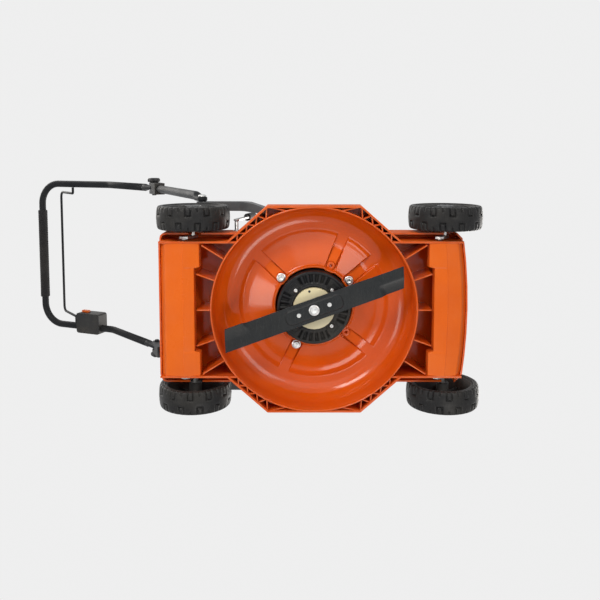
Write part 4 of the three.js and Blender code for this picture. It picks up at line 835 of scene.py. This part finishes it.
def blade_plate():
    stations = [2 * i for i in range(31)] + [61 + 0.8 * i for i in range(11)] + [74, 82, 92, 102, 112, 122]
    stations += [130 + 2 * i for i in range(22)] + [178, 186, 198, 206, TIP_MIDDLE]
    alongs = sorted({round(side * value, 2) for side in (-1, 1) for value in stations})
    acrosses = sorted({side * value for side in (-1, 1) for value in
                       (0, 3, 6, 9, 11.5, 13.2, 14.2, 15, 15.8, 16.6, 17.4, 18.2, 20, 22, 24, BLADE_HALF)})
    bm = bmesh.new()
    low, high = [], []
    for along in alongs:
        slant = max(abs(along) - SLANT_START, 0) / (TIP_MIDDLE - SLANT_START)
        end = 1 if along > 0 else -1
        low.append([])
        high.append([])
        for across in acrosses:
            trailing = end * across
            reach = along - end * slant * (TIP_LONG - TIP_SHORT) / 2 * trailing / BLADE_HALF
            z = blade_height(along, across)
            ground = GRIND * swell(trailing + BLADE_HALF, 0, 9) * swell(-abs(along), -146, -132)
            low[-1].append(bm.verts.new((reach, across, z)))
            high[-1].append(bm.verts.new((reach, across, z + BLADE_THICK - ground)))
    rows, columns = len(alongs), len(acrosses)
    for grid in (low, high):
        for i in range(rows - 1):
            for j in range(columns - 1):
                bm.faces.new((grid[i][j], grid[i + 1][j], grid[i + 1][j + 1], grid[i][j + 1]))
    rim = [(i, 0) for i in range(rows)] + [(rows - 1, j) for j in range(1, columns)]
    rim += [(i, columns - 1) for i in range(rows - 2, -1, -1)] + [(0, j) for j in range(columns - 2, 0, -1)]
    for (i, j), (k, m) in zip(rim, rim[1:] + rim[:1]):
        bm.faces.new((low[i][j], low[k][m], high[k][m], high[i][j]))
    bmesh.ops.rotate(bm, matrix=Matrix.Rotation(math.radians(BLADE_TURN), 3, "Z"), verts=bm.verts)
    piece("cutting_blade", bm, "blade_unit", "blade_steel", "blade", edge=0.35)


# Wheels
WHEEL_RADIUS = 82.5
WHEEL_X = 203
TREAD_BASE = 77.5
TYRE_BORE = 68
SLOTS = 12
LUG_IN, LUG_OUT = 3.2, 5.0
LUG_END, LUG_START = 6.7, 9.5
NOTCH_TURN = 1.0
NOTCH_START = 17
SPOKES = 8
WEB_OUT = 21
WEB_IN = 17
WHEELS = [(f"{end}_{side}", sign, along) for end, along in (("rear", 272), ("front", -296))
          for side, sign in HANDS]


def tread_relief(radius, height, angle):
    """Grooves round the lugs of both shoulders, the rows half a pitch apart, and a notch between the lugs."""
    reach = abs(height)
    if radius < TREAD_BASE - 2.5 or reach < LUG_END - 0.1:
        return radius, height
    pitch = FULL / SLOTS
    start = -90 if height < 0 else -90 + pitch / 2
    off = abs(((angle - start) / pitch + 0.5) % 1 - 0.5) * pitch
    beside_lug = LUG_IN < off < LUG_OUT
    behind_lug = off < LUG_OUT and reach < LUG_START
    notch = pitch / 2 - off < NOTCH_TURN and reach > NOTCH_START
    if beside_lug or behind_lug or notch:
        return min(radius, TREAD_BASE + 1.0 - 2.4 * swell(-reach, -25, -22)), height
    return radius, height


def wheel(name, sign, along):
    body = f"{name}_wheel"
    centre = (sign * WHEEL_X, along, WHEEL_RADIUS)
    full = WHEEL_RADIUS
    rows = [(TREAD_BASE - 1.2, 25.9), (TREAD_BASE + 0.6, 25.3), (full - 3.2, 24.0), (full - 2.0, 21.5),
            (full - 1.3, 17.5), (full - 1.2, 16.8), (full - 0.7, 13), (full - 0.5, LUG_START + 0.2),
            (full - 0.5, LUG_START - 0.2), (full - 0.4, LUG_END + 0.2), (full - 0.4, LUG_END - 0.2),
            (full - 0.1, 3), (full, 0.8)]
    side_wall = [(TYRE_BORE, 24), (TYRE_BORE + 0.6, 25.6), (TYRE_BORE + 1.4, 26), (70.6, 26), (71, 25.4),
                 (71.8, 25.4), (72.2, 26), (74, 26)]
    outside = side_wall + rows
    section = [(r, -h) for r, h in outside] + outside[::-1]
    offsets = [way * off for way in (1, -1) for off in (0.9, 1.1, 3.1, 3.3, 4.9, 5.1)]
    angles = beside(even(SLOTS * 2, -90), [0, 7.4] + offsets, 2)
    lathe(f"{name}_tread_tyre", f"{name}_tyre", body, "tyre_rubber", section, sorted(angles), tread_relief, "x",
          centre, sign, closed=True)

    def spokes(radius, height, angle):
        if 20 < radius < 60 and abs(height) < WEB_OUT + 1:
            off = abs((angle / FULL * SPOKES + 0.5) % 1 - 0.5) * FULL / SPOKES * radius * math.pi / 180
            rib = swell(off, 2.2, 3.0)
            if height * sign > WEB_OUT - 1:
                height += sign * 4.5 * rib * swell(radius, 40, 62)
            else:
                height -= sign * 15 * rib
        return radius, height

    outer = TYRE_BORE - 0.3
    section = [(6.3, -24), (13, -24), (14, -23), (14, WEB_IN - 1)]
    section += [(reach, WEB_IN) for reach in (16, 19.9, 20.1, 30, 45, 59.9, 60.1)]
    section += [(62.5, WEB_IN - 0.6), (63.7, WEB_IN - 2.5), (63.7, -23.4), (64.3, -24), (outer - 0.6, -24),
                (outer, -23.4), (outer, 23.4), (outer - 0.6, 24), (65.6, 24), (64.8, 23.6), (61.5, 21.8),
                (60.1, WEB_OUT + 0.2)]
    section += [(reach, WEB_OUT) for reach in (59.9, 45, 30, 20.1, 19.9, 6.3)]
    offsets = [way * off for way in (1, -1) for off in (0, 2.1, 3.2, 4.3, 6.4, 8.5, 13, 22.5)]
    lathe(f"{name}_spoked_hub", f"{name}_hub", body, "black_plastic", section,
          sorted(beside(even(SPOKES), offsets, 2)), spokes, "x", centre, sign, closed=True)

    section = [(21, WEB_OUT + 0.1), (21, 22), (20.4, 23.6), (19.4, 24.8), (17.6, 25.7), (15, 26), (13.6, 26),
               (13.2, 25.4), (12, 25.2), (11.6, 25.8), (10, 26), (0.01, 26), (0.01, 23), (16, 23), (18, 22.4),
               (18.6, WEB_OUT + 0.1)]
    lathe(f"{name}_wheel_cap", f"{name}_hub_cap", body, "grey_plastic", section, even(48), None, "x", centre,
          sign)


deck_shell()
deck_bowl()
boss_seats()
lever_pin()
motor_housing()
motor_bolts()
blade_plate()
for name, sign, along in WHEELS:
    wheel(name, sign, along)


# Axle covers
COVER_Z = 34
COVER_HALF = 148.7
COVER_CORNER = 253
COVER_NOTCH = 265
NOTCH_HALF = 93
CREASE = 289
CREASE_DROP = 4.2
COVER_THICK = 3
FLANGE_TOP = 59
FRONT_BOW = 11
BOW_HALF = 150
HOLE_X = 101


def axle_cover(name, node, end, reach, bow):
    """A bent plate that closes an axle channel, with a notched flange, a crease and a raised outer lip."""
    acrosses = [COVER_HALF * i / 24 for i in range(-24, 25)]
    acrosses += [sign * (NOTCH_HALF + off) for sign in (-1, 1) for off in (0, COVER_THICK)]
    bm = bmesh.new()
    rows = []
    for x in sorted(acrosses):
        edge = COVER_NOTCH if abs(x) <= NOTCH_HALF else COVER_CORNER
        bulge = bow * (1 - (x / BOW_HALF) ** 2)
        wall = reach + bulge - 3.9
        lip = wall - 11
        crease = CREASE + bulge / 2
        section = [(edge, FLANGE_TOP)] + above(COVER_Z, (
            (edge, 4), (edge + 0.4, 1), (edge + 1.4, 0), (edge + 8, -0.3), (crease - 1.5, 0.2 - CREASE_DROP),
            (crease, -CREASE_DROP), (crease + 0.5, 0.9 - CREASE_DROP), (crease + 2.0, 1.1 - CREASE_DROP),
            (lip - 2, -0.3), (lip, 0.2), (lip + 2, 1.6), (wall, 12)))
        rows.append([bm.verts.new((x, end * y, z)) for y, z in section])
    for here, there in zip(rows, rows[1:]):
        for j in range(len(here) - 1):
            bm.faces.new((here[j], there[j], there[j + 1], here[j + 1]))
    cover = piece(name, bm, "deck_unit", "cover_orange", node)
    facing = sum(face.normal.z * face.area for face in cover.data.polygons)
    thick = cover.modifiers.new("plate", "SOLIDIFY")
    thick.thickness = COVER_THICK * MM
    thick.offset = 1 if facing > 0 else -1
    soften(cover, 0.5)
    hole = above(COVER_Z, ((4.2, -0.1), (3.8, -0.5), (3.0, -0.5), (2.6, 0), (2.6, 2.6), (0.01, 2.6)))
    for side, sign in reversed(HANDS):
        lathe(f"{name}_hole_{side}", None, "deck_unit", "cover_orange", hole, even(24),
              centre=(sign * HOLE_X, end * (COVER_CORNER + 9), 0))


# Handle
PIVOT = (266, 191)
FOLD = (467, 608)
BEND = (656, 817)
GRIP_END = (916, 922)
GRIP_HALF = 150
GRIP_RINGS = 36
BAIL_ALONG = 150
BAIL_REACH = 118
BAIL_HALF = 210
BAIL_PIN = 230.2
KNOB_FACE = 16.8
TUBE_X = 241.7
TUBE_RADIUS = 11
TONGUE_X = 236.4
TONGUE_HALF = 6
SOCKET_END = 434.6
LOWER_ANGLE = math.atan2(FOLD[1] - PIVOT[1], FOLD[0] - PIVOT[0])
UPPER_ANGLE = math.atan2(BEND[1] - FOLD[1], BEND[0] - FOLD[0])
GRIP_ANGLE = math.atan2(GRIP_END[1] - BEND[1], GRIP_END[0] - BEND[0])


def flat_tube(bm, sign, start, angle, stations):
    """A tube along a line that is pressed flat at its bolted end. Stations are (along, x, half x, half up)."""
    ahead = Vector((0, math.cos(angle), math.sin(angle)))
    upward = Vector((0, -math.sin(angle), math.cos(angle)))
    rings = []
    sides = 28
    for along, x, half_x, half_up in stations:
        flat = 1 - min(half_x / half_up, 1)
        power = 1 / (1 + 2.2 * flat)
        ring = []
        for j in range(sides):
            turn = 2 * math.pi * j / sides
            c, s = math.cos(turn), math.sin(turn)
            out = math.copysign(abs(c) ** power, c) * half_x
            lift = math.copysign(abs(s) ** power, s) * half_up
            spot = Vector((sign * (x + out), start[0], start[1])) + ahead * along + upward * lift
            ring.append(bm.verts.new(spot))
        rings.append(ring)
    skin(bm, rings)


def pressed_end(length):
    """Stations of a rounded, pressed tube end that opens out into the round tube."""
    flat = [(-11.8, 2.6), (-11, 5), (-9.4, 7.6), (-7, 9.8), (-4, 11.3), (0, 12), (12, 12), (length - 16, 12)]
    stations = [(along, TONGUE_X, TONGUE_HALF - (0.1 if half > 6 else 1.2), half) for along, half in flat]
    for i in range(1, 9):
        share = i / 8
        ease = eased(share)
        stations.append((
            length - 16 + 26 * share,
            TONGUE_X + (TUBE_X - TONGUE_X) * ease,
            TONGUE_HALF + (TUBE_RADIUS - TONGUE_HALF) * ease,
            12 - ease,
        ))
    return stations


def rounded_path(points, radii, steps=10):
    """A line through points whose corners are arcs."""
    points = [Vector(point) for point in points]
    path = [points[0]]
    for i, radius in enumerate(radii, 1):
        corner = points[i]
        back = (points[i - 1] - corner).normalized()
        on = (points[i + 1] - corner).normalized()
        half = back.angle(on) / 2
        centre = corner + (back + on).normalized() * radius / math.sin(half)
        start = corner + back * radius / math.tan(half)
        end = corner + on * radius / math.tan(half)
        for j in range(steps + 1):
            path.append(centre + (start - centre).slerp(end - centre, j / steps).normalized() * radius)
    path.append(points[-1])
    return path


def handle_tubes():
    for side, sign in HANDS:
        bm = bmesh.new()
        stations = pressed_end(40) + [(SOCKET_END, TUBE_X, TUBE_RADIUS, TUBE_RADIUS)]
        flat_tube(bm, sign, PIVOT, LOWER_ANGLE, stations)
        piece(f"lower_handle_tube_{side}", bm, "lower_handle", "tube_paint", f"lower_tube_{side}")
    bm = bmesh.new()
    ends = []
    for sign in (1, -1):
        stations = [(along, TUBE_X, half_x, half_up) for along, _, half_x, half_up in pressed_end(46)]
        flat_tube(bm, sign, FOLD, UPPER_ANGLE, stations)
        ends.append((sign * TUBE_X, FOLD[0] + 50 * math.cos(UPPER_ANGLE), FOLD[1] + 50 * math.sin(UPPER_ANGLE)))
    corners = [ends[0], (TUBE_X, *BEND), (TUBE_X, *GRIP_END), (-TUBE_X, *GRIP_END), (-TUBE_X, *BEND), ends[1]]
    swept(bm, rounded_path(corners, (60, 70, 70, 60), 16), TUBE_RADIUS, sides=24)
    piece("upper_handle_loop", bm, "upper_handle", "tube_paint", "upper_loop")


def grip():
    """Foam sleeve with shallow rings and rounded ends."""
    half = GRIP_HALF
    section = [(11.7, -half), (13.6, -half), (14.6, -half + 0.6), (15, -half + 1.6), (15, -half + 8)]
    for i in range(GRIP_RINGS):
        start = -half + 12 + (2 * half - 24) / GRIP_RINGS * i
        section += [(15, start), (14.3, start + 0.7), (14.3, start + 1.6), (15, start + 2.3)]
    section += [(15, half - 8), (15, half - 1.6), (14.6, half - 0.6), (13.6, half), (11.7, half)]
    lathe("foam_grip", "grip_sleeve", "upper_handle", "grip_foam", section, even(40), None, "x",
          (0, *GRIP_END), closed=True)


def on_upper_run(along):
    return BEND[0] + along * math.cos(GRIP_ANGLE), BEND[1] + along * math.sin(GRIP_ANGLE)


def bail():
    pivot = on_upper_run(BAIL_ALONG)
    angle = GRIP_ANGLE + math.radians(31)
    far = (pivot[0] + BAIL_REACH * math.cos(angle), pivot[1] + BAIL_REACH * math.sin(angle))
    corners = [(BAIL_PIN, *pivot), (BAIL_HALF, *pivot), (BAIL_HALF, *far)]
    corners += [(-x, y, z) for x, y, z in reversed(corners)]
    bm = bmesh.new()
    swept(bm, rounded_path(corners, (6, 18, 18, 6), 8), 4, sides=16)
    piece("bail_bar", bm, "bail", "tube_paint", "bail_lever")


def clamp_knobs():
    """Five-lobed knobs, each with its bolt head on the far side of the bracket."""
    section = above(KNOB_FACE, (
        (0.01, 10.5), (6.5, 10.5), (7.2, 11.4), (8.4, 12.2), (11, 13), (15.4, 12.4), (17.8, 10.6), (19, 8),
        (19, 3.4), (18, 1.4), (12.4, 0.6), (12, 0), (4, 0)))
    section += above(-KNOB_FACE, ((4, 0.1), (6.8, 0), (6.8, -4), (6.0, -4.9), (0.01, -4.9)))
    for side, sign in HANDS:
        def lobes(radius, height, angle):
            if radius > 13 and height * sign > 0:
                wave = (1 + math.cos(math.radians(angle * 5))) / 2
                return radius * (0.80 + 0.20 * wave ** 0.7), height
            if 4.1 < radius < 7 and height * sign < 0:
                return min(radius, hexagon(6.8, angle)), height
            return radius, height

        lathe(f"lobed_knob_{side}", f"clamp_knob_{side}", f"knob_{side}", "black_plastic", section, even(80),
              lobes, "x", (sign * TUBE_X, *FOLD), sign)


def pivot_bolts():
    section = [(0.01, 247.0), (5, 246.8), (8.2, 245.6), (9.6, 244.2), (10, 243), (10, 242.8), (4, 242.7),
               (4, 207.7), (8, 207.6), (8, 203.4), (7.2, 202.8), (4.3, 202.8), (4, 203.4), (4, 201.6),
               (0.01, 201.6)]

    def nut(radius, height, angle):
        if 4.2 < radius < 9 and abs(height) < 209:
            return min(radius, hexagon(8, angle)), height
        return radius, height

    for side, sign in HANDS:
        lathe(f"handle_pivot_bolt_{side}", f"pivot_bolt_{side}", "deck_unit", "zinc_steel", section, even(48),
              nut, "x", (0, *PIVOT), sign)


def handle_brackets():
    """Arms that carry the handle over the rear wheels, slim where they lie behind the skirt."""
    outline = [(92, 86), (104, 85), (114, 88), (122, 102), (140, 128), (156, 156), (165, 169), (174, 175.6),
               (184, 177), (230, 177), (266, 177)]
    outline += arc(*PIVOT, 14, -80, 90, 17)
    outline += [(230, 205), (176, 205), (166, 203), (156, 195), (146, 184), (128, 158), (110, 132), (98, 122),
                (94, 119), (92, 116)]

    def outer(y):
        return 222 + 8 * swell(-y, -150, -104)

    for side, sign in HANDS:
        bm = bmesh.new()
        inside = [bm.verts.new((sign * 208.2, y, z)) for y, z in outline]
        outside = [bm.verts.new((sign * outer(y), y, z)) for y, z in outline]
        count = len(outline)
        for i in range(count):
            j = (i + 1) % count
            bm.faces.new((inside[i], inside[j], outside[j], outside[i]))
        for ring in (inside, outside):
            for i in range(count // 2):
                if i + 1 < count - 2 - i:
                    bm.faces.new((ring[i], ring[i + 1], ring[-2 - i], ring[-1 - i]))
        piece(f"handle_arm_{side}", bm, "deck_unit", "grey_plastic", f"handle_bracket_{side}", edge=2.2,
              segments=3)


axle_cover("rear_channel_cover", "rear_axle_cover", 1, 344, 0)
axle_cover("front_channel_cover", "front_axle_cover", -1, 330, FRONT_BOW)
handle_tubes()
grip()
bail()
clamp_knobs()
pivot_bolts()
handle_brackets()


# Small parts on the hood and battery, which the photograph doesn't show
def surface_of(node):
    mesh = NODES[node].data
    return BVHTree.FromPolygons([vert.co for vert in mesh.vertices], [face.vertices for face in mesh.polygons])


def dropped(surface, x, y, lift=0.0):
    """Point and normal where a line straight down meets a surface, in millimetres from the ring axis."""
    start = ORIGIN + Vector((x, y, 2000)) * MM
    spot, normal, _, _ = surface.ray_cast(start, Vector((0, 0, -1)))
    return (spot - ORIGIN) / MM + normal * lift, normal


def draped(surface, points, lift, step=6.0):
    """A line on a surface through points given from above."""
    path = []
    for start, end in zip(points, points[1:]):
        start, end = Vector(start), Vector(end)
        count = max(int((end - start).length / step), 1)
        path += [dropped(surface, *start.lerp(end, i / count), lift)[0] for i in range(count)]
    path.append(dropped(surface, *points[-1], lift)[0])
    return path


def panel_outline(half, low, high, corner, steps=5):
    """A rectangle with round corners, seen from above."""
    points = []
    for x, y, start in ((half - corner, high - corner, 0), (corner - half, high - corner, 90),
                        (corner - half, low + corner, 180), (half - corner, low + corner, 270)):
        points += arc(x, y, corner, start, start + 90, steps)
    return points + points[:1]


def hood_details():
    hood = surface_of("hood")
    bm = bmesh.new()
    swept(bm, draped(hood, panel_outline(104, 84, 250, 22), 0.1, 4)[:-1], 0.9, sides=8, closed=True)
    piece("battery_bay_seal", bm, "deck_unit", "black_plastic")
    for side, sign in HANDS:
        for i in range(7):
            inner, outer, y = sign * (70 - i * 1.5), sign * (118 - i * 1.5), -40 - 17 * i
            bm = bmesh.new()
            swept(bm, draped(hood, [(inner, y), (outer, y - 10)], 0.2, 4), 2.6, sides=10, squash=0.45)
            piece(f"hood_vent_{side}_{i + 1}", bm, "deck_unit", "black_plastic")
    section = [(0.01, 0.9), (1.3, 0.9), (1.7, 2.0), (3.2, 1.9), (4.2, 1.2), (4.5, 0.2), (4.5, -1), (0.01, -1)]

    def star(radius, height, angle):
        if radius < 1.5:
            radius *= 0.8 + 0.2 * math.cos(math.radians(angle * 6))
        return radius, height

    for i, (x, y) in enumerate(((132, 262), (-132, 262), (132, 30), (-132, 30))):
        lathe(f"hood_screw_{i + 1}", None, "deck_unit", "zinc_steel", section, even(36), star,
              centre=dropped(hood, x, y)[0])


def battery_details():
    battery = surface_of("battery")
    for side, sign in HANDS:
        bm = bmesh.new()
        for i in range(5):
            x = sign * (50 + 4.4 * i)
            swept(bm, draped(battery, [(x, 140), (x, 190)], 0.0, 5), 1.0, sides=8)
        piece(f"battery_ribs_{side}", bm, "battery_pack", "black_plastic")


hood_details()
battery_details()

bpy.context.scene.view_settings.view_transform = "Standard"
place_camera()
studio()
